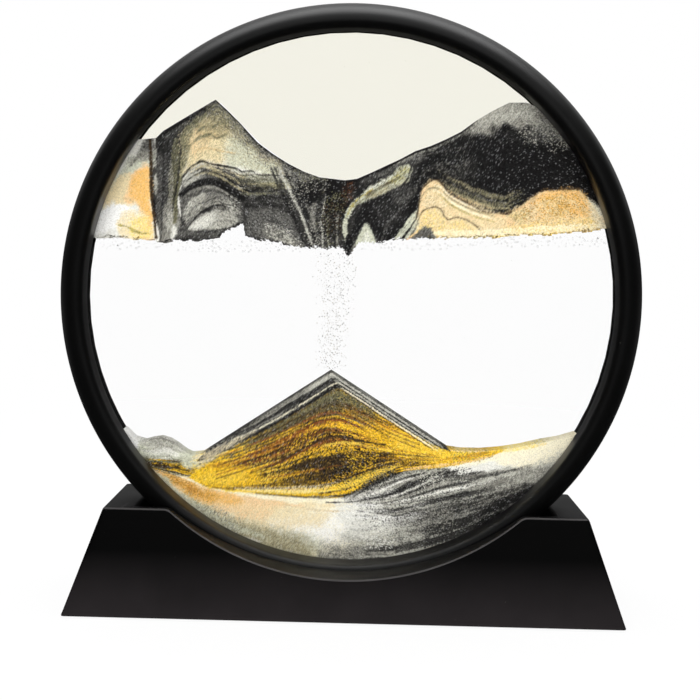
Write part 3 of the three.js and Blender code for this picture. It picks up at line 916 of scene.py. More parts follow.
class SandPicture:
    """Colours on points of the sand's face, laid over each other from a palette."""

    def __init__(self, x, y, seed):
        self.x, self.y, self.seed = x, y, seed
        self.tint = np.tile(CHARCOAL, (len(x), 1))
        self.chance = np.random.default_rng(seed)
        self.grain, self.spark = self.chance.random(len(x)) - 0.5, self.chance.random(len(x))
        self.wander = cloud(x / WANDER_SIZE, y / WANDER_SIZE, seed) - 0.5

    def near(self, points, reach):
        (left, top), (right, bottom) = points.min(0) - reach, points.max(0) + reach
        return np.flatnonzero((self.x > left) & (self.x < right) & (self.y > top) & (self.y < bottom))

    def lay(self, where, share, colour):
        """Lays a colour over the points: part of each share decides by chance which grains take it whole."""
        taken = share > self.chance.random(len(where))
        share = share + UNMIXED * (taken - share)
        self.tint[where] += share[:, None] * (colour - self.tint[where])

    def inside(self, drawn, soft, fray):
        """The points in a smooth outline, and their shares, with a soft border that is frayed by noise."""
        outline = smooth_line(drawn, closed=True)
        where = self.near(outline, soft + 2 * fray)
        x, y = self.x[where], self.y[where]
        distance = line_distance(x, y, outline)[0]
        depth = np.where(is_inside(x, y, outline), distance, -distance) + 2 * fray * self.wander[where]
        share = np.clip(depth / soft + 0.5, 0, 1)
        return where, share * share * (3 - 2 * share)

    def patch(self, colour, drawn, soft, fray, strength=1.0):
        """A layer of a colour in a smooth outline."""
        where, share = self.inside(drawn, soft, fray)
        self.lay(where, share * strength, colour)

    def grains(self, colour, drawn, soft, fray, strength):
        """Single grains of a colour in a smooth outline."""
        where, share = self.inside(drawn, soft, fray)
        self.lay(where, (share * strength > self.chance.random(len(where))) * 1.0, colour)

    def streak(self, colour, drawn, width, strength=1.0, fray=0.5, taper=0.7, broken=0.3):
        """A smooth streak that thins out towards its ends and is stronger and weaker along its length."""
        line = smooth_line(drawn)
        where = self.near(line, width + STREAK_MARGIN)
        distance, along = line_distance(self.x[where], self.y[where], line)
        half = width / 2 * (1 - taper + taper * np.sin(np.pi * np.clip(along, 0, 1)) ** TAPER_POWER)
        edge = half - distance + fray * (self.grain[where] + 2 * self.wander[where])
        length = np.hypot(*np.diff(line, axis=0).T).sum()
        waves = cloud(along * length / STREAK_WAVE, 0 * along + len(line), self.seed + STREAK_SEED, 2)
        uneven = 1 - 2 * broken * waves
        share = np.clip(edge / STREAK_EDGE + 0.5, 0, 1) * np.clip(uneven + broken, 0, 1) * strength
        self.lay(where, share, colour)

    def rank(self, guides):
        """How many guide lines lie above each point, growing evenly from one line to the next."""
        heights = [height_of(guide, self.x) for guide in guides]
        gaps = [np.clip((self.y - a) / np.maximum(b - a, 0.5), 0, 1) for a, b in zip(heights, heights[1:])]
        return sum(gaps), (self.y > heights[0]) & (self.y < heights[-1])

    def layers(self, colour, guides, rows, length, level, strength=1.0, seed=0, soft=0.1,
               reach=(0, PICTURE), fade=20):
        """Long thin streaks of noise that run along a stack of guide lines."""
        rank, inside = self.rank(guides)
        where = np.flatnonzero(inside & (self.x > reach[0]) & (self.x < reach[1]))
        x, rank = self.x[where], rank[where]
        bend = LAYER_BEND * self.wander[where]
        noise = cloud(x / length, (rank + bend) * rows, self.seed + LAYER_SEED + seed, 3)
        ends = np.clip(np.minimum(x - reach[0], reach[1] - x) / fade, 0, 1)
        self.lay(where, np.clip((noise - level) / soft + 0.5, 0, 1) * ends * strength, colour)

    def band(self, colour, line, first, last, left, right, strength=1.0, fray=0.6, soft=0.9):
        """A band at an even depth under a drawn line."""
        depth = self.y - height_of(line, self.x) + fray * (self.grain + 2 * self.wander)
        ends = np.clip(np.minimum(self.x - left, right - self.x) / BAND_END + 0.5, 0, 1)
        share = np.clip(np.minimum(depth - first, last - depth) / soft + 0.5, 0, 1) * ends
        where = np.flatnonzero(share > 0)
        self.lay(where, share[where] * strength, colour)

    def colours(self):
        """The finished colours, with single grains lighter and darker than their layer, and a painted glint
        on a few.
        """
        speckle = self.tint[:, 3]
        shade = 1 + 2 * speckle * self.grain
        # A painted glint: a few grains get extra light added to their colour
        light = SPARKLE * speckle * np.clip((self.spark - SPARK_FROM) / SPARK_SPAN, 0, 1) ** 2
        return np.clip(linear(*self.tint[:, :3].T).T * shade[:, None] + light[:, None], DARKEST, 1)


# %% The upper left: a pale end with an orange patch, and the dark column beside it
def paint_upper_left(p):
    p.patch(CHALK, "60,130 149,132 150,165 151,200 153,250 60,250", 1, 0.5)
    p.patch(SAGE, "104,196 118,174 134,156 151,152 151,170 138,171 128,186 118,198 106,206", 8, 2, 0.85)
    p.patch(ASH, "130,166 139,148 148,138 154,138 152,158 142,160", 7, 3, 0.9)
    p.patch(SLATE, "140,150 147,138 154,138 153,151", 5, 2, 0.8)
    p.patch(STRAW, "102,208 110,186 126,174 136,180 132,204 116,208", 8, 3)
    p.patch(PEACH, "124,196 130,178 138,167 149,167 150,200 152,240 142,240 138,206 128,204", 6, 3)
    p.patch(ORANGE, "128,194 132,178 139,170 150,170 152,200 153,232 146,232 145,214 138,203", 5, 3, 0.75)
    p.patch(WHITE, "92,220 106,206 122,204 133,210 131,222 116,229 92,236", 6, 3)
    p.patch(STRAW, "120,214 136,211 148,217 153,238 122,238", 6, 4, 0.8)
    p.patch(YELLOW, "130,218 146,217 152,236 132,236", 6, 4, 0.35)
    p.streak(TAN, "121,197 130,200 139,206 145,216", 1.4, 0.5)
    p.streak(MOSS, "119,225 128,227 134,231 142,233 152,233", 2, 0.9, 1)
    p.streak(UMBER, "150,138 151,165 151,180 152,200 154,215 156,238", 3, 1, 0.6, 0.2)


# %% The upper dark bank: the ground and the left crest
DARK_LEFT, DARK_BOTTOM = 151, 330
VEIN_LENGTH, VEIN_WIDTH, VEIN_SLOPE, VEIN_SOFT, VEIN_SEED = 26, 7, 0.6, 0.2, 3
INK_FROM, SLATE_TO = 0.5, 0.42


def paint_dark_ground(p):
    where = np.flatnonzero((p.y < DARK_BOTTOM) & (p.x > DARK_LEFT))
    x, y = p.x[where], p.y[where]
    veins = cloud((x + y) / VEIN_LENGTH, (y - VEIN_SLOPE * x) / VEIN_WIDTH, p.seed + VEIN_SEED)
    p.lay(where, np.clip((veins - INK_FROM) / VEIN_SOFT, 0, 1) * 0.9, INK)
    p.lay(where, np.clip((SLATE_TO - veins) / VEIN_SOFT, 0, 1) * 0.5, SLATE)


def paint_left_crest(p):
    p.patch(CHARCOAL, "156,138 192,112 217,98 240,120 226,121 213,114 200,119 190,130 184,145 180,170 172,244"
        " 158,244", 4, 2)
    p.patch(INK, "158,142 168,140 170,170 168,205 160,214 157,190", 4, 3, 0.85)
    p.patch(SLATE, "155,160 168,158 170,200 162,212 156,206", 7, 3, 0.7)
    p.patch(CHARCOAL, "160,136 176,124 190,118 184,140 172,152 162,150", 7, 3, 0.6)
    p.streak(SILVER, "154,143 154,152 155,166", 4, 0.7, 1)
    p.streak(SILVER, "155,174 156,184 156,194", 3.4, 0.7, 1)
    p.streak(OLIVE, "176,140 175,175 173,205 171,236", 11, 0.75, 1.5)
    p.streak(ASH, "171,160 171,190 168,214 166,240", 4, 0.6, 1.5)
    p.patch(ASH, "160,214 170,204 178,206 178,226 172,246 160,246", 6, 3, 0.85)
    p.patch(SILVER, "168,216 176,208 180,216 178,232 170,232", 6, 3, 0.6)
    p.streak(INK, "163,150 164,180 162,210 161,240", 2, 0.6, 1)
    p.streak(OLIVE, "205,117 194,126 187,138 186,150 183,165 180,180 177,200 175,222", 8, 0.95, 1.5)
    p.streak(MOSS, "198,124 190,132 187,142 187,152", 4, 0.55, 1.5)
    p.streak(INK, "181,148 179,170 176,190 172,212", 1.8, 0.8)
    p.streak(INK, "188,150 186,166 183,180 179,196 177,212", 1.2, 0.6)
    p.streak(CHALK, "184,178 180,195 179,205 181,216", 3, 0.9)
    p.patch(CHALK, "171,232 174,226 178,233 180,246 170,246", 3, 1.5, 0.8)
    p.band(SLATE, UPPER_CREST, 2, 8, 166, 214, 0.5, 3)
    p.band(INK, UPPER_CREST, -2, 2, 156, 218, 0.9)


# %% The upper dark bank: the pale fan and its wavy lines
FAN_LINES = (
    "182,178 190,168 196,164 202,161 210,163.5 220,165.5 236,168.5 242,171.5 252,171 258,175 272,175 300,178",
    "182,184 193,173 202,168.5 210,171 220,176 228,179 234,184.5 240,189.5 252,190.5 262,188.5 300,191",
    "182,194 190,187.5 200,183.5 210,181.5 220,184.5 230,190.5 240,197 250,203 258,199 266,197 300,199",
    "178,240 186,231 192,222 200,213 208,208 219,205 232,208 244,214 262,222 300,238",
)


def paint_pale_fan(p):
    p.patch(CHALK, "186,134 200,121 216,112 228,118 246,138 264,154 284,168 286,182 252,178 224,170 202,168"
        " 186,174", 5, 2)
    p.patch(SAGE, "236,138 250,146 270,164 280,176 252,172 230,166 226,150", 9, 4, 0.7)
    p.patch(STRAW, "186,136 200,124 212,118 224,122 232,138 230,152 222,164 202,164 187,172", 18, 4)
    p.patch(PEACH, "188,134 198,128 206,132 208,146 198,156 188,152", 8, 3, 0.5)
    p.patch(TAN, "196,126 208,117 222,114 230,124 226,136 212,140 202,138", 7, 4, 0.8)
    p.patch(OLIVE, "204,122 214,112 226,114 230,122 218,126", 7, 4, 0.6)
    p.streak(OLIVE, "198,131 206,125 214,126 222,121", 1.6, 0.6, 1.5)
    p.streak(OLIVE, "191,144 197,138 203,136 209,134 216,138 225,134", 1.8, 0.75, 1.2)
    p.streak(OLIVE, "206,130 214,129 220,131 227,126", 1.4, 0.6, 1.5)
    p.streak(TAN, "189,154 198,149 208,148 220,151 236,154", 1.6, 0.6, 1)
    p.band(SLATE, UPPER_CREST, 1, 12, 212, 312, 0.75, 4, 5)
    p.band(ASH, UPPER_CREST, 4, 16, 216, 296, 0.6, 5, 6)
    p.band(INK, UPPER_CREST, -2, 2.2, 214, 480, 0.9)
    p.streak(SLATE, "262,158 274,166 286,178", 3, 0.5, 2)
    p.patch(KHAKI, "196,122 216,108 236,126 262,152 286,172 262,172 236,160 226,140 210,132", 12, 4, 0.5)
    p.patch(OLIVE, "206,112 217,105 228,114 246,136 262,152 246,148 230,132 218,124", 9, 4, 0.6)
    p.grains(SLATE, "210,104 224,108 262,146 300,170 280,172 246,148 226,126 206,118", 10, 4, 0.3)
    p.patch(KHAKI, "184,134 200,121 216,110 228,118 246,138 264,154 284,168 252,170 224,164 202,162 184,172",
        6, 3, 0.38)
    p.streak(OLIVE, "206,114 194,124 187,136 186,150 183,166", 9, 0.8, 2.5)
    p.patch(SAGE, "226,138 244,142 262,158 282,170 262,172 240,168 224,160", 9, 4, 0.6)
    p.grains(ASH, "228,124 248,142 266,158 290,174 268,170 244,152", 10, 4, 0.22)
    p.streak(OLIVE, "196,134 204,127 213,127 224,121", 1.7, 0.8, 1.2)
    p.streak(OLIVE, "191,145 198,139 205,136 211,134 217,138 228,134", 1.8, 0.8, 1.2)
    p.streak(TAN, "190,154 200,149 210,148 222,151 238,154", 1.5, 0.7, 1)


# %% The upper dark bank: layers under the fan
def paint_fan_layers(p):
    p.patch(SILVER, "184,176 202,163 226,168 252,173 286,178 294,191 262,189 240,189 226,180 202,170 186,180",
        3, 1.5)
    p.patch(STRAW, "192,172 204,164 222,169 244,176 236,181 216,174 202,168", 4, 2, 0.8)
    p.layers(KHAKI, FAN_LINES[:2], 3, 70, 0.5, 0.85, 1, 0.12, (182, 298))
    p.layers(CHARCOAL, FAN_LINES[:2], 4, 80, 0.6, 0.8, 2, 0.08, (182, 298))
    for line, width in ((FAN_LINES[0], 1.8), (FAN_LINES[1], 2.4)):
        p.streak(INK, line, width, 0.9, 0.6, 0.4)
    p.streak(SLATE, "188,171.5 202,165 212,167 226,171.5 240,178 252,180 268,180 292,184", 1.3, 0.8)
    p.streak(KHAKI, "196,169 206,166 216,171 228,176 240,183", 3, 0.8, 1)
    p.patch(OLIVE, "240,174 262,175 288,180 282,189 250,187", 8, 4, 0.5)
    p.patch(SLATE, "180,190 202,176 222,181 240,193 262,192 296,194 310,240 300,248 246,238 236,216 210,206"
        " 188,228", 3, 2)
    p.patch(SILVER, "184,182 192,173 200,170 206,174 196,180 186,188", 4, 2, 0.75)


# %% The upper dark bank: the dome of grey arcs
def paint_dome(p):
    p.layers(ASH, FAN_LINES[2:], 7, 46, 0.42, 0.85, 3, 0.14, (180, 248))
    p.patch(SILVER, "184,208 194,197 206,194 202,204 192,214 185,222", 6, 3, 0.7)
    p.patch(ASH, "196,202 214,194 232,200 240,212 226,210 208,208", 8, 3, 0.55)
    p.patch(SILVER, "224,200 236,202 242,214 232,214", 7, 3, 0.6)
    p.layers(CHARCOAL, FAN_LINES[2:], 9, 60, 0.6, 0.7, 4, 0.1, (180, 246))
    p.streak(INK, "181,195 190,187.5 200,183.5 210,181.5 220,184.5 230,190.5 240,197 252,204",
        6.4, 0.95, 1, 0.4)
    p.streak(INK, "238,196 250,202 258,199 266,197 296,199", 5, 0.9, 1)
    p.streak(CHARCOAL, "182,203 192,195 202,191 214,190 226,195 240,206", 2.4, 0.5, 1.5)
    p.patch(SILVER, "187,230 195,220 205,213 218,210 230,212 238,221 228,228 210,230", 4, 1.5, 0.9)
    p.patch(CHALK, "190,228 200,217 212,213 216,219 206,227 198,229", 8, 2, 0.5)
    p.patch(ASH, "216,214 228,212 238,220 230,226 218,226", 8, 3, 0.55)
    p.patch(SLATE, "238,208 250,206 262,210 262,232 246,232 240,220", 8, 3, 0.6)
    p.streak(INK, "184,233 192,222 200,213 208,208 219,205 230,208", 1.6, 0.9)
    p.streak(ASH, "189,227 198,218 210,213 224,212", 1.2, 0.5)
    p.patch(SLATE, "177,233 192,231 212,232 224,229 222,244 177,246", 3, 2, 0.9)
    p.patch(CHARCOAL, "178,236 196,234 214,236 214,244 178,246", 4, 3, 0.6)
    p.streak(KHAKI, "194,175.5 206,172.5 216,175 226,180.5 236,187 248,193", 2.6, 0.8, 0.6)
    p.streak(INK, "186,181 197,174 207,170.5 217,173.5 227,178 237,184.5 250,188 270,187", 1.2, 0.85, 0.4)
    p.streak(OLIVE, "240,194 256,194 276,193 296,195", 2, 0.7, 0.8)
    p.grains(INK, "226,189 244,195 258,204 246,211 232,204", 6, 3, 0.35)


# %% The upper dark bank: the grey mass beside the throat
def paint_grey_mass(p):
    p.patch(CHARCOAL, "243,202 262,198 294,198 312,246 300,252 262,245 245,238 243,216", 4, 2)
    p.patch(SLATE, "250,212 276,210 296,226 304,250 262,244 247,234", 8, 4, 0.9)
    p.patch(ASH, "262,230 272,226 284,230 302,250 276,248 262,242", 9, 4, 0.85)
    p.grains(SILVER, "268,230 284,230 304,252 268,248", 12, 4, 0.35)
    p.layers(SLATE, ("243,199 300,200", "243,250 312,252"), 12, 40, 0.55, 0.6, 5, 0.12, (243, 308))
    p.streak(INK, "246,206 266,205 286,210 298,222", 2, 0.6, 1.5)
    p.streak(CHARCOAL, "250,238 268,240 290,246", 4, 0.6, 2)


# %% The upper dark bank: the throat where the sand runs out
LIGHT_STREAK = "279,168 284,180 290,192 296,204 301,214 305,225 309,236 315,250"


def paint_throat(p):
    for shift, colour, width, strength in (
        (-8, INK, 4, 0.7), (-4, CHARCOAL, 3, 0.8), (5, INK, 4, 0.8), (10, SLATE, 2, 0.7), (14, INK, 4, 0.8),
    ):
        p.streak(colour, shifted(LIGHT_STREAK, across=shift), width, strength, 1)
    p.streak(SILVER, LIGHT_STREAK, 2.6, 0.95, 0.6, 0.3)
    p.streak(ASH, "284,168 296,174 306,182 313,192 317,206", 3, 0.7, 1)
    p.streak(SLATE, "292,172 304,180 312,188", 3, 0.8, 1)
    p.streak(INK, "296,178 306,188 311,202 313,216", 3, 0.8, 1)
    p.patch(SLATE, "296,168 312,172 330,180 326,190 310,186 298,178", 7, 4, 0.6)
    p.grains(OLIVE, "294,168 312,172 328,180 322,192 304,186", 8, 4, 0.25)
    p.patch(INK, "299,186 320,180 323,198 313,204 303,200", 5, 3, 0.9)
    p.patch(ASH, "308,208 318,204 319,228 313,230", 5, 3, 0.7)
    p.streak(SILVER, "326,196 323,212 322,226 323,248", 2.4, 0.85, 0.8)
    p.streak(CHARCOAL, "319,196 317,214 318,246", 2.4, 0.9, 0.8)
    p.patch(INK, "325,180 348,180 346,214 337,219 328,212", 6, 3)
    p.grains(OLIVE, "328,198 346,196 344,230 330,246 322,220", 10, 4, 0.3)
    p.patch(RUST, "343,186 350,182 355,187 351,197 345,199", 7, 3, 0.22)
    for x, colour in ((328, OLIVE), (331, CHARCOAL), (334, INK), (337, ASH), (340, CHARCOAL)):
        p.streak(colour, f"{x + 1},212 {x},230 {x + 1},252", 2.4, 0.85, 0.8)
    p.grains(INK, "320,204 348,204 346,232 322,234", 8, 3, 0.4)
    p.grains(ASH, "292,174 318,178 332,184 318,192 296,190", 8, 3, 0.2)
    p.grains(ASH, "288,192 304,196 308,208 292,208", 8, 3, 0.16)
    p.grains(ASH, "304,226 324,224 326,246 310,248", 6, 3, 0.22)
    p.grains(UMBER, "324,206 352,204 350,230 326,232", 8, 3, 0.2)


# %% The upper dark bank: the sage band
SAGE_BAND = "358,203 367,189 380,181 391,174 401,166 411,168 410,179 400,187 388,191 374,199"


def paint_sage_band(p):
    p.patch(CHARCOAL, "346,250 343,222 350,204 366,192 384,178 402,164 414,164 412,180 394,190 374,202"
        " 360,220 356,250", 5, 2)
    p.patch(SAGE, SAGE_BAND, 3, 3, 0.9)
    p.grains(OLIVE, SAGE_BAND, 3, 3, 0.2)
    p.streak(SAGE, "384,186 370,192 359,200 350,209 346,219 345,231 347,248", 4.6, 0.85, 1.8, 0.4)
    p.streak(CHALK, "400,171 386,180 372,188 362,196", 1.8, 0.6, 1)
    p.patch(KHAKI, "366,196 378,190 394,184 406,178 404,184 388,190 374,198", 5, 4, 0.7)
    p.patch(MOSS, "388,180 400,170 408,170 404,178 394,184", 6, 4, 0.4)
    p.streak(OLIVE, "406,172 394,181 380,188 368,196 354,207", 2.4, 0.75, 1.4)
    p.streak(UMBER, "400,176 388,183 376,189 366,195", 1.2, 0.6, 1.4)
    p.streak(MOSS, "374,188 361,197 351,207 346,218", 1.6, 0.6, 1)
    p.streak(INK, "412,166 406,181 394,191 378,200 364,209 356,220 352,234", 2, 0.9, 0.8)
    p.streak(INK, "398,166 386,175 374,181 364,190 352,200 345,210", 1.4, 0.8, 0.8)
    p.streak(INK, "396,186 399,196 405,190 410,180", 1.6, 0.8, 0.8)
    p.patch(INK, "345,238 352,236 353,258 346,258", 2, 1)
    p.patch(ASH, "352,246 358,243 358,258 352,258", 2, 1, 0.9)


# %% The upper dark bank: the right shoulder and its grey crown
RIGHT_GOLD = (
    "421,250 420,226 419,208 421,192 424,186 430,181 436,180 441,183 448,192 458,198 470,204 480,209 490,212"
    " 505,213 518,207 532,197 540,192 550,190.5 578,191 586,197 597,211 612,223 650,240 650,250"
)
RIGHT_TOP = "400,214 421,192 436,180 448,192 470,204 490,212 505,213 532,195 550,188 580,188 597,210 620,226"
OVER_HUMP = "400,190 421,170 436,164 448,172 470,184 490,192 505,194 532,182 550,180 620,200"
HUMP = (
    "400,240 417,214 421,192 426,184 433,180 441,183 448,192 458,198 480,209 505,213 532,195 550,188 580,188"
    " 620,230"
)


def paint_right_shoulder(p):
    p.patch(INK, "384,196 408,174 430,152 460,138 480,128 520,142 560,146 620,200 600,210 580,190 532,196"
        " 505,214 480,210 440,184 424,188 414,206 380,214", 6, 3, 0.85)
    p.patch(SLATE, "374,177 396,163 416,153 424,156 406,170 386,178", 6, 3, 0.85)
    p.layers(ASH, (UPPER_CREST, HUMP), 16, 60, 0.64, 0.3, 6, 0.1, (376, 480))
    p.layers(INK, (UPPER_CREST, HUMP), 12, 50, 0.4, 0.9, 7, 0.2, (476, 610))
    p.band(SILVER, UPPER_CREST, 1.5, 4, 396, 476, 0.4, 1.5)
    p.band(INK, UPPER_CREST, -2, 1.8, 340, 510, 0.9)
    p.patch(ASH, "466,132 484,112 506,100 530,100 556,112 580,142 570,146 552,130 540,134 528,126 514,130"
        " 504,124 492,136 480,136", 7, 5)
    p.patch(SILVER, "476,124 494,110 508,102 528,104 536,114 512,120 490,126", 9, 5, 0.5)
    p.patch(SLATE, "522,132 536,124 552,128 556,140 540,142 528,140", 8, 5, 0.6)
    p.patch(SLATE, "540,118 560,122 576,144 556,134", 7, 5, 0.7)
    p.grains(ASH, "512,124 540,120 564,130 572,148 540,146 520,138", 10, 5, 0.3)
    p.grains(INK, "532,146 560,146 590,176 576,186 548,174 528,160", 8, 4, 0.5)
    for top, foot in (("492,120", "496,142"), ("514,126", "518,150"), ("538,130", "546,156")):
        p.streak(INK, f"{foot} {top}", 6, 0.6, 3, 0.9)


# %% The upper dark bank: under the right shoulder
def paint_lower_shoulder(p):
    p.patch(INK, "354,236 362,206 380,196 400,192 416,198 418,212 404,240 386,246 370,232", 5, 3, 0.85)
    p.patch(CHARCOAL, "376,204 396,198 408,204 400,222 384,228", 8, 4, 0.6)
    p.patch(SLATE, "390,192 404,184 414,188 410,202 396,204", 8, 4, 0.55)
    p.streak(SLATE, "380,244 386,228 396,214 408,202", 2.4, 0.6, 1.5)
    for line, width in (
        ("394,242 407,226 418,210", 6), ("403,242 412,230 420,216", 3.4), ("410,240 417,229 421,222", 2.6),
    ):
        p.streak(SAGE, line, width, 0.9, 0.8)
    p.patch(SAGE, "356,246 361,230 367,223 372,231 376,246", 3, 1, 0.9)
    p.patch(CHALK, "362,246 366,232 370,236 372,246", 4, 1, 0.5)


# %% The upper right: peach and yellow under the dark shoulder
def paint_right_gold(p):
    p.layers(KHAKI, (OVER_HUMP, RIGHT_TOP), 5, 80, 0.5, 0.6, 9, 0.24, (436, 526))
    p.grains(OLIVE, "446,184 474,190 496,196 522,196 510,214 482,211 462,203", 9, 4, 0.22)
    p.streak(KHAKI, "444,184 456,193 470,199 484,205 502,208", 1.4, 0.7)
    p.streak(SLATE, "446,178 458,188 474,195 488,200 506,203", 2, 0.7, 1)
    p.streak(KHAKI, "450,190 464,198 480,204 496,208 512,208", 1.5, 0.8, 0.8)
    p.streak(TAN, "446,189 460,197 476,203.5 492,209", 1.3, 0.8, 0.6)
    p.patch(PEACH, RIGHT_GOLD, 2, 1)
    p.patch(STRAW, "422,248 421,200 428,183 438,184 460,202 500,216 512,248", 8, 4, 0.8)
    p.patch(CREAM, "424,206 430,190 438,190 448,204 440,208", 7, 3, 0.5)
    p.patch(ORANGE, "534,206 546,192 580,190 594,206 584,220 548,222", 9, 4, 0.75)
    p.patch(YELLOW, "500,232 530,222 570,220 604,220 606,236 540,238", 8, 4, 0.5)
    p.patch(TAN, "508,214 520,206 534,198 536,218 520,226", 9, 5, 0.5)
    p.patch(OCHRE, "544,202 556,197 568,202 566,213 550,214", 7, 5, 0.5)
    p.patch(MOSS, "512,212 526,206 530,216 518,222", 6, 5, 0.45)
    p.patch(STRAW, "536,224 566,216 590,218 570,226 546,230", 7, 4, 0.6)
    p.patch(CREAM, "586,198 598,204 614,226 600,232", 7, 3, 0.9)
    p.layers(STRAW, (RIGHT_TOP, "400,250 620,250"), 14, 50, 0.55, 0.6, 8, 0.12, (416, 612))
    p.patch(TAN, RIGHT_GOLD, 4, 2, 0.3)
    for drop, colour, width in ((2.5, CREAM, 1.6), (5, OLIVE, 1.2), (8, CREAM, 2), (11, MOSS, 1.1)):
        line = shifted("434,182 441,185 450,193 462,200 476,206 494,211", down=drop)
        p.streak(colour, line, width, 0.8)
    p.patch(YELLOW, "418,228 424,212 432,209 440,212 448,221 458,219 468,223 486,240 420,242", 6, 3, 0.14)
    p.streak(UMBER, "417,222 423,211 430,208 436,207 441,210 445,217 449,219.5 456,217.5 464,219 472,223"
        " 479,229 486,240", 1.5, 0.8, 0.4)
    p.streak(OLIVE, "419,206 424,193 432,188 438,190", 1.2, 0.6)
    p.patch(TAN, "422,192 434,184 448,196 448,208 424,208", 6, 3, 0.25)
    p.patch(SLATE, "412,240 418,232 425,227 432,231 436,240", 3, 2, 0.95)
    p.streak(MOSS, "440,236 470,237 500,236", 1.4, 0.6, 1)
    p.streak(CREAM, "436,233 490,234 540,231 604,226", 9, 0.6, 2, 0.4)
    p.streak(YELLOW, "490,237 540,235 600,231", 2, 0.5, 1)
    p.grains(OCHRE, "520,206 546,194 574,194 590,206 570,218 530,222", 10, 4, 0.14)
    p.streak(UMBER, "417,216 421,193 425,186 431,181 437,180 442,184 449,193 459,199 471,205 481,210 491,213"
        " 506,214", 1.3, 0.8, 0.8, 0.2)
    p.streak(UMBER, "506,214 519,207 533,196 541,191 551,189 582,189", 2, 0.8, 1.8, 0.2)


# %% The settled sand: the dark cap on the peak
CAP_FLOOR = (
    "80,470 190,457 206,452 236,441 260,430 280,419 300,407 320,395 333,387 341,386 352,393 392,420 440,446"
    " 640,460"
)
WHITE_LINE = (
    "230,441 260,428 280,417 300,405 320,392.5 333,384.5 340,383.5 350,389.5 360,395.5 380,409 394,418"
)


def paint_cap(p):
    p.patch(CHARCOAL, "204,454 331,366 450,450 392,422 352,396 337,388 320,398 250,438 216,455", 1.5, 0.5)
    p.layers(ASH, (LOWER_CREST, CAP_FLOOR), 9, 60, 0.46, 0.8, 21, 0.14, (200, 345), 10)
    p.band(ASH, LOWER_CREST, 2.5, 12, 206, 330, 0.75, 1.5, 2)
    p.layers(INK, (LOWER_CREST, CAP_FLOOR), 13, 110, 0.6, 0.8, 22, 0.08, (196, 345), 8)
    p.band(SILVER, LOWER_CREST, 2, 7, 306, 342, 0.8, 0.8, 1.5)
    p.band(INK, LOWER_CREST, 8.5, 11.5, 290, 338, 0.85)
    p.streak(CHARCOAL, "222,440 260,423 280,412 300,400 320,387.5 333,379.5 342,379 352,386",
        1.8, 0.9, 0.4, 0.2)
    p.streak(CREAM, WHITE_LINE, 1.5, 0.85, 0.4, 0.6)
    p.patch(STRAW, "196,457 208,451 236,439 256,431 244,440 222,452 206,461", 6, 2, 0.5)
    p.streak(INK, "236,443 260,432 280,421 300,409 320,396.5 333,388.5 342,387.5 352,394 366,402", 1.8, 0.8)
    p.band(SILVER, LOWER_CREST, 2, 4.6, 334, 441, 0.9, 0.4)
    p.band(INK, LOWER_CREST, 4.8, 6, 336, 441, 0.9, 0.3)
    p.band(SILVER, LOWER_CREST, 6.2, 8, 338, 438, 0.85, 0.4)
    p.band(INK, LOWER_CREST, 8.2, 9.2, 338, 436, 0.8, 0.4)
    p.band(CREAM, LOWER_CREST, 9.4, 11.4, 342, 436, 0.9, 0.4)
    p.band(UMBER, LOWER_CREST, 11.6, 13, 344, 432, 0.85, 0.5)
    p.band(CHARCOAL, LOWER_CREST, -2, 1.4, 204, 443, 0.85, 0.4)


# %% The settled sand: gold with brown streaks
GOLD_FLOOR = (
    "80,470 190,478 206,487 230,491 270,495 310,498 332,498 352,493 380,479 404,471 450,466 500,456 640,450"
)
GOLD_LINES = (
    CAP_FLOOR,
    "80,472 190,462 230,453 270,438 300,424 320,414 338,411 356,417 384,431 440,449 500,452 640,460",
    "80,474 190,466 236,459 270,446 300,431 320,422 338,421 360,429 392,440 440,452 500,453 640,460",
    "80,476 190,470 250,470 285,459 300,450 315,442 331,437 345,437 360,441 382,445 420,453 460,457 500,454"
    " 640,461",
    "80,478 190,474 256,478 300,469 330,463 356,460 385,458 420,459 460,460 500,455 640,462",
    "80,480 190,477 240,487 280,487 300,486 320,485 340,480 360,473 380,466 404,462 450,463 500,456 640,463",
    GOLD_FLOOR,
)


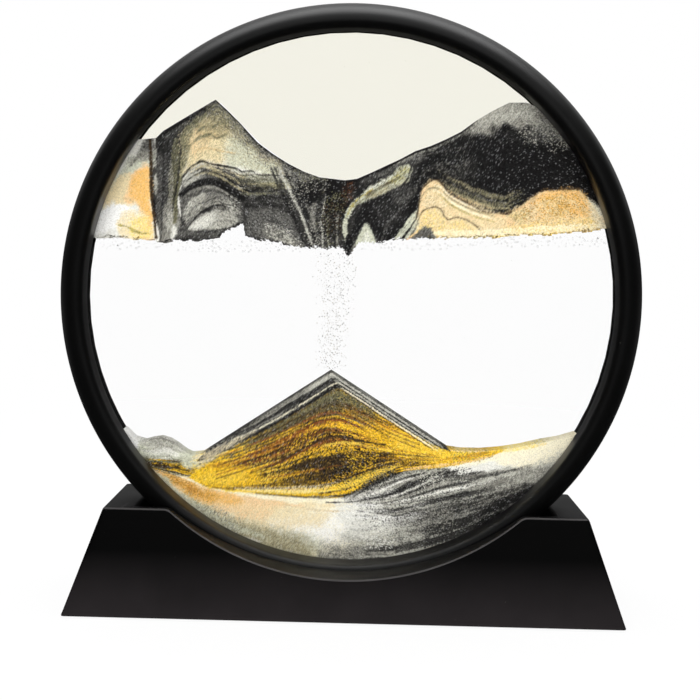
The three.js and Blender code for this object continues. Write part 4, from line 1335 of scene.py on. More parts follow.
def paint_gold(p):
    p.patch(SAGE, "180,452 204,450 236,438 250,436 226,454 202,470 184,466", 6, 2, 0.85)
    p.patch(STRAW, "192,458 208,451 236,440 250,436 226,454 204,468", 8, 2, 0.5)
    p.patch(GOLD, "188,478 206,465 228,451 250,436 320,394 336,386 394,419 446,445 500,448 494,455 452,466"
        " 404,471 380,479 352,493 330,498 270,495 226,490 206,487 190,478", 2, 0.5)
    p.layers(YELLOW, GOLD_LINES, 7, 50, 0.56, 0.6, 23, 0.14, (188, 496))
    p.patch(OLIVE, "240,442 270,426 320,396 338,388 372,410 380,420 356,420 338,414 300,428 262,446",
        10, 4, 0.75)
    p.patch(UMBER, "246,442 270,428 300,410 330,400 350,406 366,416 340,418 300,428 262,444", 10, 4, 0.4)
    p.patch(RUST, "250,456 280,440 306,426 336,424 346,436 316,444 280,462 256,466", 12, 4, 0.4)
    p.patch(UMBER, "296,442 318,430 340,428 348,440 320,446 300,456", 9, 4, 0.5)
    p.patch(OCHRE, "340,400 372,414 400,430 380,436 350,424", 8, 4, 0.5)
    p.patch(UMBER, "288,470 306,455 330,447 362,448 390,458 380,466 350,478 318,485 292,484", 12, 5, 0.7)
    p.patch(UMBER, "230,480 262,470 300,462 300,480 256,486", 9, 4, 0.5)
    p.layers(UMBER, GOLD_LINES, 5, 80, 0.54, 0.62, 24, 0.12, (196, 410))
    p.layers(OLIVE, GOLD_LINES[:3], 5, 80, 0.5, 0.7, 28, 0.14, (206, 380))
    p.layers(RUST, GOLD_LINES[1:5], 4, 80, 0.56, 0.55, 25, 0.12, (200, 400))
    p.layers(GOLD, GOLD_LINES[1:], 5, 70, 0.54, 0.75, 26, 0.12, (200, 420))
    p.grains(INK, "226,462 262,438 300,414 336,396 386,424 400,446 372,470 330,488 250,486", 24, 4, 0.1)
    p.grains(INK, "274,456 300,436 338,424 372,442 384,460 352,480 300,486 276,474", 24, 4, 0.24)
    p.grains(INK, "340,472 372,460 398,464 380,480 352,491", 12, 4, 0.25)
    p.grains(YELLOW, "206,480 250,456 290,446 280,480 250,488", 18, 4, 0.16)
    p.layers(OCHRE, GOLD_LINES, 9, 45, 0.57, 0.6, 27, 0.1, (380, 500))
    p.patch(GOLD, "190,472 216,464 250,466 262,476 250,487 214,487", 9, 4, 0.8)
    p.patch(YELLOW, "196,478 222,470 244,474 236,484 208,484", 8, 4, 0.4)
    p.patch(GOLD, "362,430 390,430 416,438 446,448 470,453 446,459 410,455 380,446", 9, 4, 0.75)
    p.layers(UMBER, GOLD_LINES[3:], 8, 50, 0.55, 0.6, 29, 0.1, (372, 440))
    p.patch(SLATE, "362,484 376,472 392,468 394,474 378,482 366,490", 6, 3, 0.5)
    p.patch(YELLOW, "392,432 420,440 448,449 480,453 440,460 404,456", 10, 4, 0.45)


# %% The settled sand: arcs and fine lines in the gold
BETWEEN_POINTS = 18


def between(guides, rank, left, right):
    """A drawn line between two guide lines, at a share of the way that is the fraction of the rank."""
    x, k = np.linspace(left, right, BETWEEN_POINTS), int(rank)
    y = height_of(guides[k], x) + (rank - k) * (height_of(guides[k + 1], x) - height_of(guides[k], x))
    return " ".join(f"{a:.1f},{b:.1f}" for a, b in zip(x, y))


def paint_gold_arcs(p):
    p.streak(RUST, "262,448 300,430.5 320,421.5 338,420 352,424 370,434", 1.8, 0.9)
    p.streak(GOLD, "310,430 326,426 340,425 360,431 388,437", 5, 0.75, 1)
    p.streak(UMBER, "250,473 270,466 285,459 300,450 315,442 331,437 345,437 360,441 386,445", 2.8, 0.95, 0.6)
    p.streak(YELLOW, "322,446 345,442.5 370,447 398,451", 3, 0.75, 1)
    p.streak(UMBER, "330,456 350,452 372,453 396,455", 1.8, 0.8, 0.6)
    for drop, colour in ((0, UMBER), (3, OCHRE), (6, UMBER), (9, RUST), (13, UMBER)):
        line = shifted("216,466 250,455 285,443 310,431", down=drop)
        p.streak(colour, line, 1.5, 0.75, 0.6)
    for drop, colour in ((0, RUST), (4, UMBER), (8, UMBER)):
        line = shifted("344,404 364,415 390,429 420,441", down=drop)
        p.streak(colour, line, 1.2, 0.6, 0.6)


def paint_gold_lines(p):
    for k, rank in enumerate(np.arange(0.6, 5.4, 0.36)):
        line = between(GOLD_LINES, rank, 204 + 15 * rank, 322 + 10 * (k % 4))
        p.streak((UMBER, RUST, INK)[k % 3], line, 1.3, 0.75, 0.4, 0.7, 0.5)
    for k, rank in enumerate(np.arange(3.2, 4.8, 0.4)):
        line = between(GOLD_LINES, rank, 360 + 8 * (k % 3), 440)
        p.streak((OCHRE, UMBER)[k % 2], line, 1.1, 0.6, 0.4, 0.7, 0.5)


# %% The settled sand: the foot of the gold
def paint_gold_foot(p):
    p.streak(YELLOW, "296,491 330,489 356,482 376,473 400,465", 6, 0.65, 1)
    p.streak(MOSS, "330,484 356,478 378,469", 2, 0.7)
    p.streak(UMBER, "226,488 280,488 300,487 320,486 340,481 360,473.5 380,466.5 404,460", 2.2, 0.9)
    p.streak(UMBER, "250,486 300,480.5 320,478 342,473", 1.8, 0.8)
    p.streak(YELLOW, "226,491 270,491.5 310,492.5 338,489", 2.6, 0.9, 0.6)
    p.streak(INK, "256,493.5 290,496 310,497 330,496.5 345,495 355,491 365,485 380,479 400,472",
        1.7, 0.9, 0.4)
    p.layers(CREAM, GOLD_LINES[5:], 3, 70, 0.54, 0.4, 30, 0.14, (226, 344))
    p.streak(STRAW, "446,450 470,451 504,449", 2.4, 0.7)
    p.streak(OCHRE, "440,460 464,457 496,451", 2, 0.7, 1)
    p.streak(YELLOW, "488,453 506,450 524,447.5 546,444", 4.5, 0.45, 1)
    p.streak(MOSS, "484,450.5 510,447 536,443 568,436", 1.2, 0.6, 0.4)
    p.grains(MOSS, "452,450 480,451 496,452 484,458 456,462", 6, 3, 0.25)
    p.grains(GOLD, "286,436 310,425 318,440 294,452", 8, 3, 0.12)
    p.streak(PEACH, "404,470 424,467 446,464.5 470,461 494,455.5", 2.4, 0.75, 0.6)
    p.grains(INK, "364,484 380,474 396,468 400,476 382,486 368,494", 8, 3, 0.28)
    p.grains(INK, "320,468 348,462 350,482 324,488", 8, 3, 0.16)
    p.grains(GOLD, "348,452 372,452 374,466 350,470", 8, 3, 0.14)


# %% The settled sand: the left dune
DUNE_LINES = (LOWER_CREST, "80,452 126,456 152,459 178,460.5 206,461", "80,470 140,466 170,472 206,480")


def paint_left_dune(p):
    p.patch(SAGE, "80,416 126,427 152,436 178,443 196,452 208,456 188,464 150,462 80,456", 3, 1)
    p.patch(SILVER, "140,440 162,436 182,446 192,453 170,454 150,450", 7, 3, 0.9)
    p.patch(ASH, "152,440 164,438 176,446 168,450 154,447", 8, 4, 0.4)
    p.band(ASH, LOWER_CREST, 0.5, 2.5, 134, 192, 0.6, 1)
    p.patch(WHITE, "104,420 126,426 138,438 134,450 104,450", 5, 2)
    p.layers(ASH, DUNE_LINES, 6, 50, 0.6, 0.4, 31, 0.1, (132, 204))
    p.layers(CHALK, DUNE_LINES[:2], 5, 40, 0.5, 0.7, 32, 0.12, (130, 206))
    p.patch(OLIVE, "136,456 166,459 196,457 203,465 192,476 168,473 146,466", 5, 2, 0.85)
    p.layers(UMBER, DUNE_LINES[1:], 5, 40, 0.48, 0.9, 33, 0.1, (138, 204), 8)
    p.layers(GOLD, DUNE_LINES[1:], 6, 30, 0.58, 0.8, 34, 0.1, (146, 206), 8)
    p.streak(GOLD, "164,463 180,466 200,468", 2.4, 0.7, 1.5)


# %% The settled sand: the pale basin and its grey edge
def paint_basin(p):
    p.patch(CREAM, "60,462 146,464 192,476 230,490 310,498 332,498 356,501 372,510 400,530 450,550 450,640"
        " 60,640", 2, 1)
    p.patch(WHITE, "262,512 330,508 362,516 360,540 310,545 276,536", 16, 4, 0.7)
    p.patch(STRAW, "210,494 260,496 300,502 330,506 290,514 240,514", 12, 4, 0.7)
    p.patch(PEACH, "144,464 176,473 200,484 232,493 262,498 286,504 262,511 226,511 198,501 172,486",
        9, 3, 0.85)
    p.patch(ORANGE, "158,470 184,478 206,489 240,498 232,507 206,504 180,492", 11, 4, 0.8)
    p.patch(OCHRE, "160,471 178,475 200,486 216,496 204,501 184,491 168,480", 11, 4, 0.4)
    p.patch(RUST, "172,478 190,485 206,494 200,497 184,489", 8, 4, 0.18)
    p.streak(CREAM, "152,464 190,480 215,488 245,494 276,499 304,502", 2.6, 0.9)
    p.streak(PEACH, "246,498 276,503 304,506", 3, 0.6, 1)
    p.streak(TAN, "282,504 310,509.5 330,511 350,510.5 370,507", 1.6, 0.7)
    p.streak(STRAW, "300,503 330,505.5 352,504", 3, 0.7)


def paint_basin_edge(p):
    edge = "140,470 156,490 178,512 206,532 240,549 280,561 330,566 380,564"
    p.patch(SAGE, "150,470 176,490 206,508 246,520 290,532 322,544 300,562 240,552 190,528 158,500",
        16, 4, 0.75)
    p.patch(KHAKI, "152,474 180,497 210,508 246,519 280,530 310,545 320,575 220,565 160,525", 16, 4, 0.8)
    p.streak(SILVER, edge, 20, 0.4, 5, 0.4)
    p.streak(SAGE, "158,474 172,490 196,508 226,524 262,537", 10, 0.6, 3)
    p.streak(ASH, "170,510 200,533 232,549 272,561 330,567 390,562", 18, 0.75, 5, 0.5)
    p.streak(SLATE, "206,541 240,554 280,564 330,569 390,564", 10, 0.6, 5, 0.5)
    p.streak(OLIVE, "216,546 260,559 310,566", 10, 0.5, 4)
    p.streak(CHALK, "164,492 190,512 224,530 262,542", 3, 0.5, 2)
    p.patch(STRAW, "214,505 250,508 292,508 330,512 316,526 276,528 240,520", 14, 4, 0.75)
    p.patch(PEACH, "214,504 244,508 270,510 262,520 236,517", 10, 4, 0.5)
    p.patch(ASH, "318,552 350,545 384,546 408,552 400,570 330,572", 9, 5, 0.8)
    p.patch(SLATE, "340,557 370,552 400,555 390,572 340,572", 8, 5, 0.6)
    p.grains(ASH, "202,508 232,514 238,530 206,526", 8, 4, 0.25)


# %% The settled sand: the grey drift at the right
DRIFT_LINES = (
    "80,499 340,499 352,494 368,487 380,480.5 395,473.5 410,468 428,465.5 452,466 500,456 540,446 577,434"
    " 640,412",
    "80,500 360,498.5 380,496 395,491 410,484.5 425,478 440,474 452,471 500,463 540,453 580,441 640,424",
    "80,501 384,502 400,497 415,490.5 430,484 444,480 475,476 500,470 520,464 552,455 640,430",
    "80,503 392,504 415,499 440,492.5 470,486 500,478 530,470 562,461 640,438",
    "80,512 392,514 428,507 460,500 490,492 530,482 560,470 640,446",
    "80,530 384,530 420,524 460,516 500,504 540,486 570,468 640,452",
    "80,548 380,548 400,546 420,541 440,536 464,528 500,512 540,490 570,472 640,456",
    "80,570 400,562 450,546 500,520 545,496 580,480 640,470",
)


def paint_drift(p):
    p.patch(ASH, "344,500 362,488 384,477 410,468 452,465 500,454 560,440 584,429 650,420 560,570 420,570"
        " 392,534 362,508", 4, 2)
    p.layers(SILVER, DRIFT_LINES, 3, 60, 0.48, 0.8, 41, 0.14, (346, 600))
    p.layers(CHARCOAL, DRIFT_LINES, 4, 80, 0.56, 0.8, 42, 0.1, (350, 600))
    p.patch(CHARCOAL, "440,502 490,486 548,470 568,468 540,506 490,536 448,544 420,530", 26, 5, 0.9)
    p.patch(INK, "486,506 530,488 562,474 540,506 500,528 474,532", 10, 5, 0.8)
    p.patch(CHALK, "444,449 480,450 520,445 560,437 584,427 610,424 592,446 560,458 520,466 480,472 448,470",
        6, 2)
    p.patch(CREAM, "444,451 480,451 520,446 560,438 584,430 556,450 510,460 470,466 448,464", 8, 3, 0.85)
    p.patch(SILVER, "552,458 570,448 590,438 590,452 570,464", 8, 4, 0.5)
    p.layers(KHAKI, DRIFT_LINES[:3], 5, 80, 0.62, 0.25, 43, 0.1, (490, 600))
    p.streak(YELLOW, "446,448 480,450 516,446", 2, 0.5)


# %% The settled sand: lines in the drift
def paint_drift_lines(p):
    p.streak(INK, "352,498 368,487 380,481 395,474 410,468.5 430,466", 2.4, 0.9)
    p.streak(SILVER, "360,494 378,486 392,480 412,474 436,470", 2, 0.8)
    p.streak(SLATE, "364,495 384,487 400,480 424,474", 1.4, 0.8)
    p.streak(CHALK, "364,497 385,489 400,482 424,475", 2, 0.85)
    p.streak(INK, "356,499 380,497 395,492 410,485 425,478 440,474 458,471", 2.6, 0.9)
    p.streak(CHALK, "384,499.5 400,494 410,490 425,482.5 436,477", 2, 0.8)
    p.streak(INK, "396,498 415,490.5 430,484 446,479", 2.2, 0.9)
    p.streak(SILVER, "400,500 424,491 446,484 470,480", 1.8, 0.8)
    p.streak(CHARCOAL, "404,500 430,491 456,485 486,479", 2, 0.8)
    p.streak(CHALK, "388,503.5 415,498.5 440,492 470,486 500,478 530,470 566,460", 3, 0.9, 0.8)
    p.streak(INK, "424,501.5 460,494 482,489 512,481 540,472", 2.6, 0.8)
    p.streak(SLATE, "450,478 475,476 500,473 520,469 540,464 560,458", 1.4, 0.7)
    p.streak(CHALK, "460,472 500,464 530,458 562,449", 9, 0.9, 1.5)
    p.streak(SILVER, "404,510 440,503 476,496 510,487", 2.4, 0.7, 1)
    p.streak(ASH, "430,514 464,507 500,497 530,486", 2.2, 0.6, 1.5)
    p.patch(ASH, "470,484 500,474 540,464 560,460 540,474 500,486 474,492", 9, 4, 0.55)
    p.patch(ASH, "494,478 520,470 540,468 530,482 506,490 492,488", 9, 4, 0.7)
    p.streak(SILVER, "470,483 500,476 530,469 556,462", 4, 0.75, 1.2)
    p.streak(SILVER, "496,488 518,482 536,475", 2.4, 0.6, 1.5)
    p.patch(ASH, "516,470 540,462 558,458 552,472 530,482", 9, 4, 0.6)
    p.patch(CHALK, "348,500 366,492 390,486 396,492 376,500 356,504", 6, 3, 0.45)
    p.patch(CREAM, "496,448 540,441 580,430 578,448 544,464 504,466", 6, 3, 0.9)
    p.band(STRAW, LOWER_CREST, -3, 2, 446, 590, 0.6)
    p.streak(SLATE, "470,520 500,510 536,494", 2, 0.6, 1.5)
    p.patch(SILVER, "508,478 532,466 562,452 570,458 552,474 526,484", 8, 4, 0.5)
    p.grains(SILVER, "418,474 434,469 446,470 440,480 424,486", 8, 4, 0.3)
    p.grains(SLATE, "448,472 472,468 474,482 452,488", 10, 4, 0.3)


# %% The settled sand: the foot of the drift
def paint_drift_foot(p):
    p.patch(CHALK, "338,501 366,502 386,512 396,522 372,532 346,530", 12, 5, 0.85)
    p.patch(ASH, "318,544 350,540 384,540 400,548 340,558", 11, 5, 0.4)
    p.layers(SLATE, DRIFT_LINES[3:7], 5, 40, 0.6, 0.5, 44, 0.1, (346, 440), 24)
    p.layers(WHITE, DRIFT_LINES[3:6], 4, 44, 0.58, 0.5, 45, 0.12, (340, 430))
    p.streak(INK, "326,502.5 350,502 370,499 390,494 414,484", 1.4, 0.9)
    p.streak(CHARCOAL, "358,511 384,513 410,511 444,506", 3, 0.5, 2)
    p.patch(SILVER, "340,536 372,524 396,520 418,519 420,529 390,543 352,546", 18, 4, 0.6)
    p.grains(SLATE, "372,500 440,490 470,500 450,530 400,545 372,530", 24, 4, 0.12)
    p.patch(CHALK, "352,532 372,528 392,528 382,535 360,540", 10, 4, 0.5)
    p.streak(CHARCOAL, "366,552 400,548 420,543 440,536 474,523", 8, 0.7, 2.5)
    p.patch(CHARCOAL, "426,540 444,524 470,516 476,530 440,546", 10, 4, 0.7)
    p.layers(SILVER, DRIFT_LINES[3:7], 4, 50, 0.56, 0.55, 46, 0.14, (392, 500), 30)
    p.layers(CHARCOAL, DRIFT_LINES[3:7], 4, 60, 0.58, 0.45, 47, 0.14, (384, 480), 30)
    p.streak(SILVER, "392,555 420,550 446,543 474,532", 3, 0.85, 1)
    p.streak(INK, "430,553 460,542 490,526 520,508", 4, 0.6, 2)
    p.grains(SLATE, "404,492 430,487 432,504 408,508", 10, 4, 0.25)
    p.grains(ASH, "424,512 450,508 452,526 428,528", 10, 4, 0.3)
    p.grains(CHARCOAL, "426,530 452,526 456,544 430,548", 8, 4, 0.35)
    p.grains(CHALK, "364,530 390,528 392,546 366,548", 10, 4, 0.22)


# %% The order in which the layers cover each other
PAINT_STEPS = (
    paint_dark_ground, paint_left_crest, paint_pale_fan, paint_fan_layers, paint_dome, paint_grey_mass,
    paint_throat, paint_right_shoulder, paint_sage_band, paint_lower_shoulder, paint_right_gold,
    paint_upper_left, paint_basin, paint_basin_edge, paint_left_dune, paint_drift, paint_drift_lines,
    paint_drift_foot, paint_gold, paint_gold_arcs, paint_gold_lines, paint_gold_foot, paint_cap,
)


def painted(x, y, seed):
    """The colours of points of one face, after all the layers."""
    p = SandPicture(x, y, seed)
    for step in PAINT_STEPS:
        step(p)
    return p.colours()


# %% Paint both faces of the net
REAR_SEED = 50
used = np.zeros(net_x.shape, bool)
for di in (0, 1):
    for dj in (0, 1):
        used[di:di + is_sand.shape[0], dj:dj + is_sand.shape[1]] |= is_sand
number = np.full(net_x.shape, -1)
number[used] = np.arange(int(used.sum()))
face_x, face_z = net_x[used], net_z[used] + CENTRE_Z
front = np.stack([face_x, np.full_like(face_x, -SAND_HALF), face_z], axis=1)
rear = front * np.array((1, -1, 1))
across, down = in_picture(front)
front_colour = painted(across, down, SEED)
rear_colour = painted(across, down, SEED + REAR_SEED)
print("painted points:", len(front), "on each face")

# %% [markdown]
# ## The sand: solids and finish
# Each bank becomes one closed piece: its cells in front, the same cells behind, and a wall wherever the
# next cell belongs to something else. The walls hold rows of grains too, because the slopes show from
# above. The finish takes the painted colour, breaks it up with grains finer than a cell, and roughens the
# surface, because wet sand behind glass has hardly any shine.

# %% The sand's finish
PAINT_LAYER = "sand_colour"
FINE_GRAIN, FINE_DEPTH, FINE_STRENGTH = 0.28, 0.12, 0.3
FINE_SHADE, FINE_STOPS = (222, 221, 219), [(0.3, 0), (0.55, 1)]
SAND_ROUGHNESS, SAND_MIRROR = 0.95, 0.2


def sand_finish(name, glint):
    """The painted colour with fine grains; glint is how much smoother some of them are."""
    material, tree = new_finish(name)
    painted_colour = tree.node("ShaderNodeVertexColor", {"layer_name": PAINT_LAYER})
    grain = tree.noise(FINE_GRAIN, 2)
    dark = tree.node("ShaderNodeMix", {"data_type": "RGBA", "blend_type": "MULTIPLY"},
                     {0: 1.0, 6: painted_colour, 7: rgba(*FINE_SHADE)}, out=2)
    colour = tree.blend(tree.ramp(grain, FINE_STOPS), dark, painted_colour)
    shader = tree.node("ShaderNodeBsdfPrincipled", {}, {
        "Base Color": colour,
        "Roughness": SAND_ROUGHNESS - glint * grain,
        "Normal": tree.bump(grain, FINE_DEPTH, FINE_STRENGTH),
        "Specular IOR Level": SAND_MIRROR,
    })
    tree.finish(shader)
    return material


GLINT = {"black_sand": 0.35, "gold_sand": 0.45, "peach_sand": 0.25, "white_sand": 0.2, "grey_sand": 0.3}
SAND_FINISH = {slot: sand_finish(slot, glint) for slot, glint in GLINT.items()}
print("sand finishes:", list(SAND_FINISH))


# %% Rows of grains between the two faces
MOST_TRIANGLES, MOST_ROWS = 199_000, 14
NEAR_COLUMNS, NEAR_ROWS = 5, 3
WALL_SEED = 90
at_i, at_j = np.nonzero(used)
chance = np.random.default_rng(SEED + WALL_SEED)


def wall_row(share, pitch):
    """Points part of the way from the front to the rear, each with the colour of a grain close by."""
    near_i = at_i + chance.integers(1 - NEAR_COLUMNS, NEAR_COLUMNS, len(at_i))
    near_j = at_j + chance.integers(1 - NEAR_ROWS, NEAR_ROWS, len(at_j))
    near = number[np.clip(near_i, 0, used.shape[0] - 1), np.clip(near_j, 0, used.shape[1] - 1)]
    near = np.where(near < 0, number[at_i, at_j], near)
    points = front + share * (rear - front)
    points[:, 1] += pitch * (chance.random(len(near)) - 0.5) / 2
    from_rear = chance.random(len(near))[:, None] < share
    return points, np.where(from_rear, rear_colour[near], front_colour[near])


# %% Build a bank from its cells
def bank_cells(mine):
    """The cells of a bank as quads of point numbers, and the pairs of points round its border."""
    i, j = np.argwhere(mine).T
    a, b, c, d = number[i, j], number[i + 1, j], number[i + 1, j + 1], number[i, j + 1]
    padded, border = np.pad(mine, 1), []
    for (di, dj), first, last in (((0, -1), a, b), ((1, 0), b, c), ((0, 1), c, d), ((-1, 0), d, a)):
        open_side = ~padded[i + 1 + di, j + 1 + dj]
        border.append(np.stack([first[open_side], last[open_side]], 1))
    return np.stack([a, b, c, d], 1), np.vstack(border)


def bank_mesh(name, mine):
    """A closed mesh with both faces and with as many rows of grains in its walls as its triangles allow."""
    cells, border = bank_cells(mine)
    rows = int(np.clip((MOST_TRIANGLES - 4 * len(cells)) // (2 * len(border)), 1, MOST_ROWS))
    between_faces = [wall_row(k / rows, 2 * SAND_HALF / rows) for k in range(1, rows)]
    points, colours = zip((front, front_colour), *between_faces, (rear, rear_colour))
    first, last, step = *border.T, len(front)
    walls = [np.stack([first, first + step, last + step, last], 1) + k * step for k in range(rows)]
    kept, quads = np.unique(np.vstack([cells, cells[:, ::-1] + rows * step, *walls]), return_inverse=True)
    mesh = bpy.data.meshes.new(name)
    mesh.from_pydata((np.vstack(points)[kept] * MM).tolist(), [], quads.reshape(-1, 4).tolist())
    colour = mesh.color_attributes.new(PAINT_LAYER, "FLOAT_COLOR", "POINT")
    opaque = np.hstack([np.vstack(colours)[kept], np.ones((len(kept), 1))])
    colour.data.foreach_set("color", opaque.astype(np.float32).ravel())
    print(name, "triangles:", 2 * len(mesh.polygons), "rows in its walls:", rows)
    return mesh


for k, (name, slot) in enumerate(SAND_NODES.items()):
    mesh = bank_mesh(name + "_grains", bank == k)
    mesh.materials.append(SAND_FINISH[slot])
    place(new_object(mesh.name, mesh), "frame", slot, name)

# %% [markdown]
# ## Bubbles and falling grains
# A row of tiny air bubbles holds the upper sand back, and a thin veil of grains falls from the throat to
# the peak. They are many small copies of one ball, which is work for Geometry Nodes: points are scattered
# on a guide strip, thinned out by a weight painted on the strip, and each point gets a ball of its own
# size.

# %% Guide strips, drawn in the picture and laid in the middle of the cell
def guide_strip(name, rows):
    """A strip through rows of (height, left, right) pixels, with weight 1 in its middle, 0 at its sides."""
    points = [in_cell(x, y) * MM for y, left, right in rows for x in (left, (left + right) / 2, right)]
    starts = [3 * i + j for i in range(len(rows) - 1) for j in (0, 1)]
    faces = [(k, k + 1, k + 4, k + 3) for k in starts]
    mesh = bpy.data.meshes.new(name)
    mesh.from_pydata(points, [], faces)
    weight = mesh.attributes.new("flow", "FLOAT", "POINT")
    weight.data.foreach_set("value", [0.0, 1.0, 0.0] * len(rows))
    return new_object(name, mesh)


# %% The tree that scatters balls
SCATTER_INPUTS = {
    "Geometry": "NodeSocketGeometry", "Spacing": "NodeSocketFloat", "Density": "NodeSocketFloat",
    "Even": "NodeSocketFloat", "Size": "NodeSocketFloat", "Depth": "NodeSocketFloat",
    "Facets": "NodeSocketInt", "Seed": "NodeSocketInt", "Finish": "NodeSocketMaterial",
}
SMALLEST, LARGEST = 0.3, 1.0
FULL_TURN = 6.3


def scatter_tree():
    """Points on a mesh, thicker where its flow is stronger, moved in depth, each with a ball."""
    group = bpy.data.node_groups.new("scattered_balls", "GeometryNodeTree")
    for name, kind in SCATTER_INPUTS.items():
        group.interface.new_socket(name, in_out="INPUT", socket_type=kind)
    group.interface.new_socket("Geometry", in_out="OUTPUT", socket_type="NodeSocketGeometry")
    tree = Tree(group)

    def given(name):
        return tree.node("NodeGroupInput", out=name)

    def chance(kind, low, high, out):
        first = {"FLOAT_VECTOR": 0, "FLOAT": 2}[kind]
        return tree.node("FunctionNodeRandomValue", {"data_type": kind},
                         {first: low, first + 1: high, "Seed": given("Seed")}, out)

    flow = tree.node("GeometryNodeInputNamedAttribute", {"data_type": "FLOAT"}, {"Name": "flow"})
    points = tree.node("GeometryNodeDistributePointsOnFaces", {"distribute_method": "POISSON"}, {
        "Mesh": given("Geometry"), "Distance Min": given("Spacing"), "Density Max": given("Density"),
        "Density Factor": flow.largest(given("Even")), "Seed": given("Seed"),
    })
    back = tree.node("ShaderNodeCombineXYZ", {}, {"Y": given("Depth")})
    front_side = tree.node("ShaderNodeCombineXYZ", {}, {"Y": 0 - given("Depth")})
    moved = tree.node("GeometryNodeSetPosition", {},
                      {"Geometry": points, "Offset": chance("FLOAT_VECTOR", front_side, back, 0)})
    ball = tree.node("GeometryNodeMeshIcoSphere", {},
                     {"Radius": given("Size"), "Subdivisions": given("Facets")})
    placed = tree.node("GeometryNodeInstanceOnPoints", {}, {
        "Points": moved, "Instance": ball, "Scale": chance("FLOAT", SMALLEST, LARGEST, 1),
        "Rotation": chance("FLOAT_VECTOR", (0, 0, 0), (FULL_TURN, FULL_TURN, FULL_TURN), 0),
    })
    real = tree.node("GeometryNodeRealizeInstances", {}, {"Geometry": placed})
    done = tree.node("GeometryNodeSetMaterial", {}, {"Geometry": real, "Material": given("Finish")})
    tree.node("NodeGroupOutput", {}, {"Geometry": done})
    return group


SCATTER = scatter_tree()
print("scatter tree with inputs", list(SCATTER_INPUTS))


# %% Scatter on strips and keep a plain mesh
ALL_SMOOTH = 180


def scattered(name, strips, slot, **inputs):
    """Balls on all strips, joined to one piece."""
    made_meshes = []
    for strip in strips:
        work = guide_strip(name + "_guide", strip)
        modifier = work.modifiers.new("scatter", "NODES")
        modifier.node_group = SCATTER
        for item in SCATTER.interface.items_tree:
            if item.in_out == "INPUT" and item.name in inputs:
                modifier[item.identifier] = inputs[item.name]
        made_meshes.append(modified_mesh(work))
        bpy.data.objects.remove(work)
    points, faces = [], []
    for mesh in made_meshes:
        faces += [tuple(v + len(points) for v in p.vertices) for p in mesh.polygons]
        points += [tuple(v.co / MM) for v in mesh.vertices]
    place(new_piece(name, points, faces, inputs["Finish"], ALL_SMOOTH), "frame", slot)


# %% The finish of bubbles and loose grains
BUBBLE_FACE, BUBBLE_RIM, BUBBLE_POWER, BUBBLE_FILM = 0.02, 0.6, 2.4, 0.04
BUBBLE_SHINE, BUBBLE_ROUGHNESS, FILM_SIZE = (205, 203, 199), 0.15, 0.8
LOOSE_DARK, LOOSE_PALE, LOOSE_STOPS = (70, 68, 66), (176, 168, 150), [(0.4, 0), (0.6, 1)]
LOOSE_MIX, LOOSE_LUMP, LOOSE_ROUGHNESS, LOOSE_UNEVEN = 1.1, 0.5, 0.8, 0.2


def bubble_finish():
    material, tree = new_finish("air_bubble")
    rim = BUBBLE_RIM * facing_away(tree) ** BUBBLE_POWER
    share = BUBBLE_FACE + rim + BUBBLE_FILM * tree.noise(FILM_SIZE, 1)
    see_through(tree, share, WHITE_LIGHT, BUBBLE_SHINE, BUBBLE_ROUGHNESS)
    return material


def loose_grain_finish():
    material, tree = new_finish("loose_grain")
    mixed = tree.ramp(tree.noise(LOOSE_MIX, 1), LOOSE_STOPS)
    tree.finish(tree.node("ShaderNodeBsdfPrincipled", {}, {
        "Base Color": tree.blend(mixed, rgba(*LOOSE_DARK), rgba(*LOOSE_PALE)),
        "Roughness": LOOSE_ROUGHNESS + LOOSE_UNEVEN * tree.noise(LOOSE_LUMP, 1),
        "Specular IOR Level": SAND_MIRROR,
    }))
    return material


AIR_BUBBLE, LOOSE_GRAIN = bubble_finish(), loose_grain_finish()
print("finishes:", AIR_BUBBLE.name, "and", LOOSE_GRAIN.name)

# %% The row of bubbles, the veil of grains and a few strays
BUBBLE_ROWS = [
    [(236, 99, 172), (249, 98, 176)],
    [(236, 470, 612), (247, 470, 613)],
    [(240, 176, 300), (252, 176, 316)],
    [(243, 360, 470), (250, 360, 470)],
]
scattered("air_bubbles", BUBBLE_ROWS, "clear_liquid", Spacing=0.7 * MM, Density=1.6e6, Even=1.0,
          Size=0.36 * MM, Depth=2 * MM, Facets=2, Seed=3, Finish=AIR_BUBBLE)
VEIL = [
    [(251, 334, 358), (280, 330, 358), (310, 324, 354), (340, 320, 350), (369, 320, 348)],
    [(252, 308, 340), (275, 312, 344), (310, 316, 344), (369, 314, 342)],
]
scattered("falling_grains", VEIL, "black_sand", Spacing=0.4 * MM, Density=3e6, Even=0.08, Size=0.18 * MM,
          Depth=2.2 * MM, Facets=1, Seed=8, Finish=LOOSE_GRAIN)
OPEN_LIQUID = [[(60, 280, 430), (120, 240, 470)], [(258, 120, 590), (410, 150, 570)]]
scattered("stray_grains", OPEN_LIQUID, "black_sand", Spacing=4 * MM, Density=2.2e4, Even=0.4, Size=0.12 * MM,
          Depth=2.2 * MM, Facets=1, Seed=12, Finish=LOOSE_GRAIN)

# %% [markdown]
# ## Floor, background and light
# The picture has a white ground. A white floor under bright lamps would also flood the black plastic, so
# the floor and the world show white only to the camera, to mirrors and through glass, and the lamps stay at
# a plain level. Mirrors see the white behind the object, a pale patch above it and a dim room in front of
# it, which keeps the black parts black and gives the ring its soft sheen.

# %% White floor that keeps a soft shadow
FLOOR_HALF = 3.0
FADE_NEAR, FADE_FAR = 0.16, 0.42
FLOOR_BACK = 0.05, 0.4
FLOOR_MIRRORED = 0.02, 0.12
SHADOW_KEPT = 0.1
PAPER, PALE_PAPER, PAPER_LUMP = (240, 240, 240), (246, 246, 246), 40


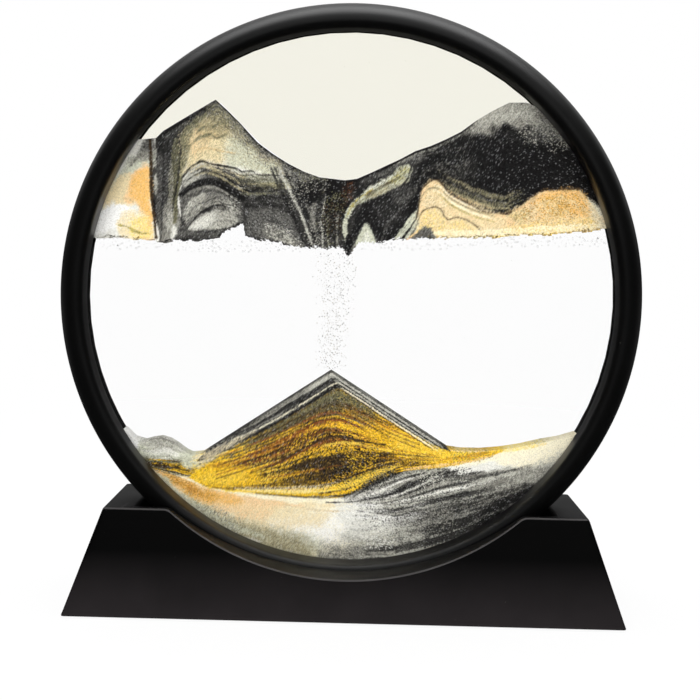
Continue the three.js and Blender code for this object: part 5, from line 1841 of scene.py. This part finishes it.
def seen_and_mirrored(tree):
    """Whether light comes to the eye straight or through glass, and whether it comes by a mirror."""
    path = "ShaderNodeLightPath"
    seen = tree.node(path, out="Is Camera Ray").largest(tree.node(path, out="Is Transmission Ray"))
    return seen, tree.node(path, out="Is Glossy Ray")


def floor_finish():
    """White to the eye, with a little shadow near the object; in mirrors it is dim, and dimmer in front."""
    material, tree = new_finish("white_floor")
    seen, mirrored = seen_and_mirrored(tree)
    spot = tree.node("ShaderNodeTexCoord", out="Object")
    back = tree.node("ShaderNodeMapRange", {}, {
        "Value": tree.axis(spot, "Y"), "From Min": FLOOR_BACK[0], "From Max": FLOOR_BACK[1],
        "To Min": FLOOR_MIRRORED[0], "To Max": FLOOR_MIRRORED[1],
    })
    distance = tree.node("ShaderNodeVectorMath", {"operation": "LENGTH"}, {0: spot}, out="Value")
    far = tree.share(distance, FADE_NEAR, FADE_FAR)
    paper = tree.blend(tree.noise(PAPER_LUMP, 2), rgba(*PAPER), rgba(*PALE_PAPER))
    lit = tree.node("ShaderNodeBsdfDiffuse", {}, {"Color": paper})
    white = tree.node("ShaderNodeEmission", {}, {"Color": (1, 1, 1, 1), "Strength": seen + mirrored * back})
    share = (seen * (1 - SHADOW_KEPT + SHADOW_KEPT * far)).largest(mirrored)
    tree.finish(tree.node("ShaderNodeMixShader", {}, {0: share, 1: lit, 2: white}))
    return material


square = np.array([(-1, -1, 0), (1, -1, 0), (1, 1, 0), (-1, 1, 0)])
floor = new_piece("studio_floor", square * FLOOR_HALF / MM, [(0, 1, 2, 3)], floor_finish())
print("floor", 2 * FLOOR_HALF, "m wide")


# %% The world
BEHIND, RAISED = (0.3, 0.9), (0.04, 0.3)
SHEEN_X, SHEEN_WIDE, SHEEN_NARROW = 0.1, 0.22, 0.05


def studio_world(room, mirrored_room, mirrored_back, mirrored_top):
    """White to the eye, plain room light, and in mirrors a dim room with a white back and a pale patch."""
    world = bpy.data.worlds.new("studio")
    world.use_nodes = True
    tree = Tree(world.node_tree)
    seen, mirrored = seen_and_mirrored(tree)
    way = tree.node("ShaderNodeTexCoord", out="Generated")
    behind = tree.share(tree.axis(way, "Y"), *BEHIND, "SMOOTHSTEP")
    raised = tree.share(tree.axis(way, "Z"), *RAISED, "SMOOTHSTEP")
    aside = tree.axis(way, "X") - SHEEN_X
    above = tree.share(aside * aside, SHEEN_WIDE, SHEEN_NARROW, "SMOOTHSTEP")
    glossy = mirrored_room + raised * (mirrored_back * behind + mirrored_top * above * (1 - behind))
    level = seen + (1 - seen) * (mirrored * glossy + (1 - mirrored) * room)
    background = tree.node("ShaderNodeBackground", {}, {"Color": (1, 1, 1, 1), "Strength": level})
    tree.node("ShaderNodeOutputWorld", {}, {"Surface": background})
    return world


studio = studio_world(room=0.45, mirrored_room=0.01, mirrored_back=0.6, mirrored_top=0.62)
bpy.context.scene.world = studio
print("world:", studio.name)


# %% The lamps
MIDDLE = (0, 0, 0.09)


def softbox(name, spot, aim, size, power):
    lamp = bpy.data.lights.new(name, "AREA")
    lamp.shape, lamp.size, lamp.size_y, lamp.energy = "RECTANGLE", *size, power
    made = new_object(name, lamp)
    spot, aim = Vector(spot), Vector(aim)
    made.matrix_world = Matrix.Translation(spot) @ (spot - aim).to_track_quat("Z", "Y").to_matrix().to_4x4()
    return made


front_box = softbox("front_box", spot=(-0.12, -1.25, 0.6), aim=MIDDLE, size=(1.2, 0.9), power=12.5)
front_box.visible_glossy = False
top_box = softbox("top_box", spot=(0, 0.08, 1.3), aim=MIDDLE, size=(1.8, 0.9), power=15)
bpy.context.scene.view_settings.view_transform = "Standard"
print("lamps:", front_box.name, "and", top_box.name)
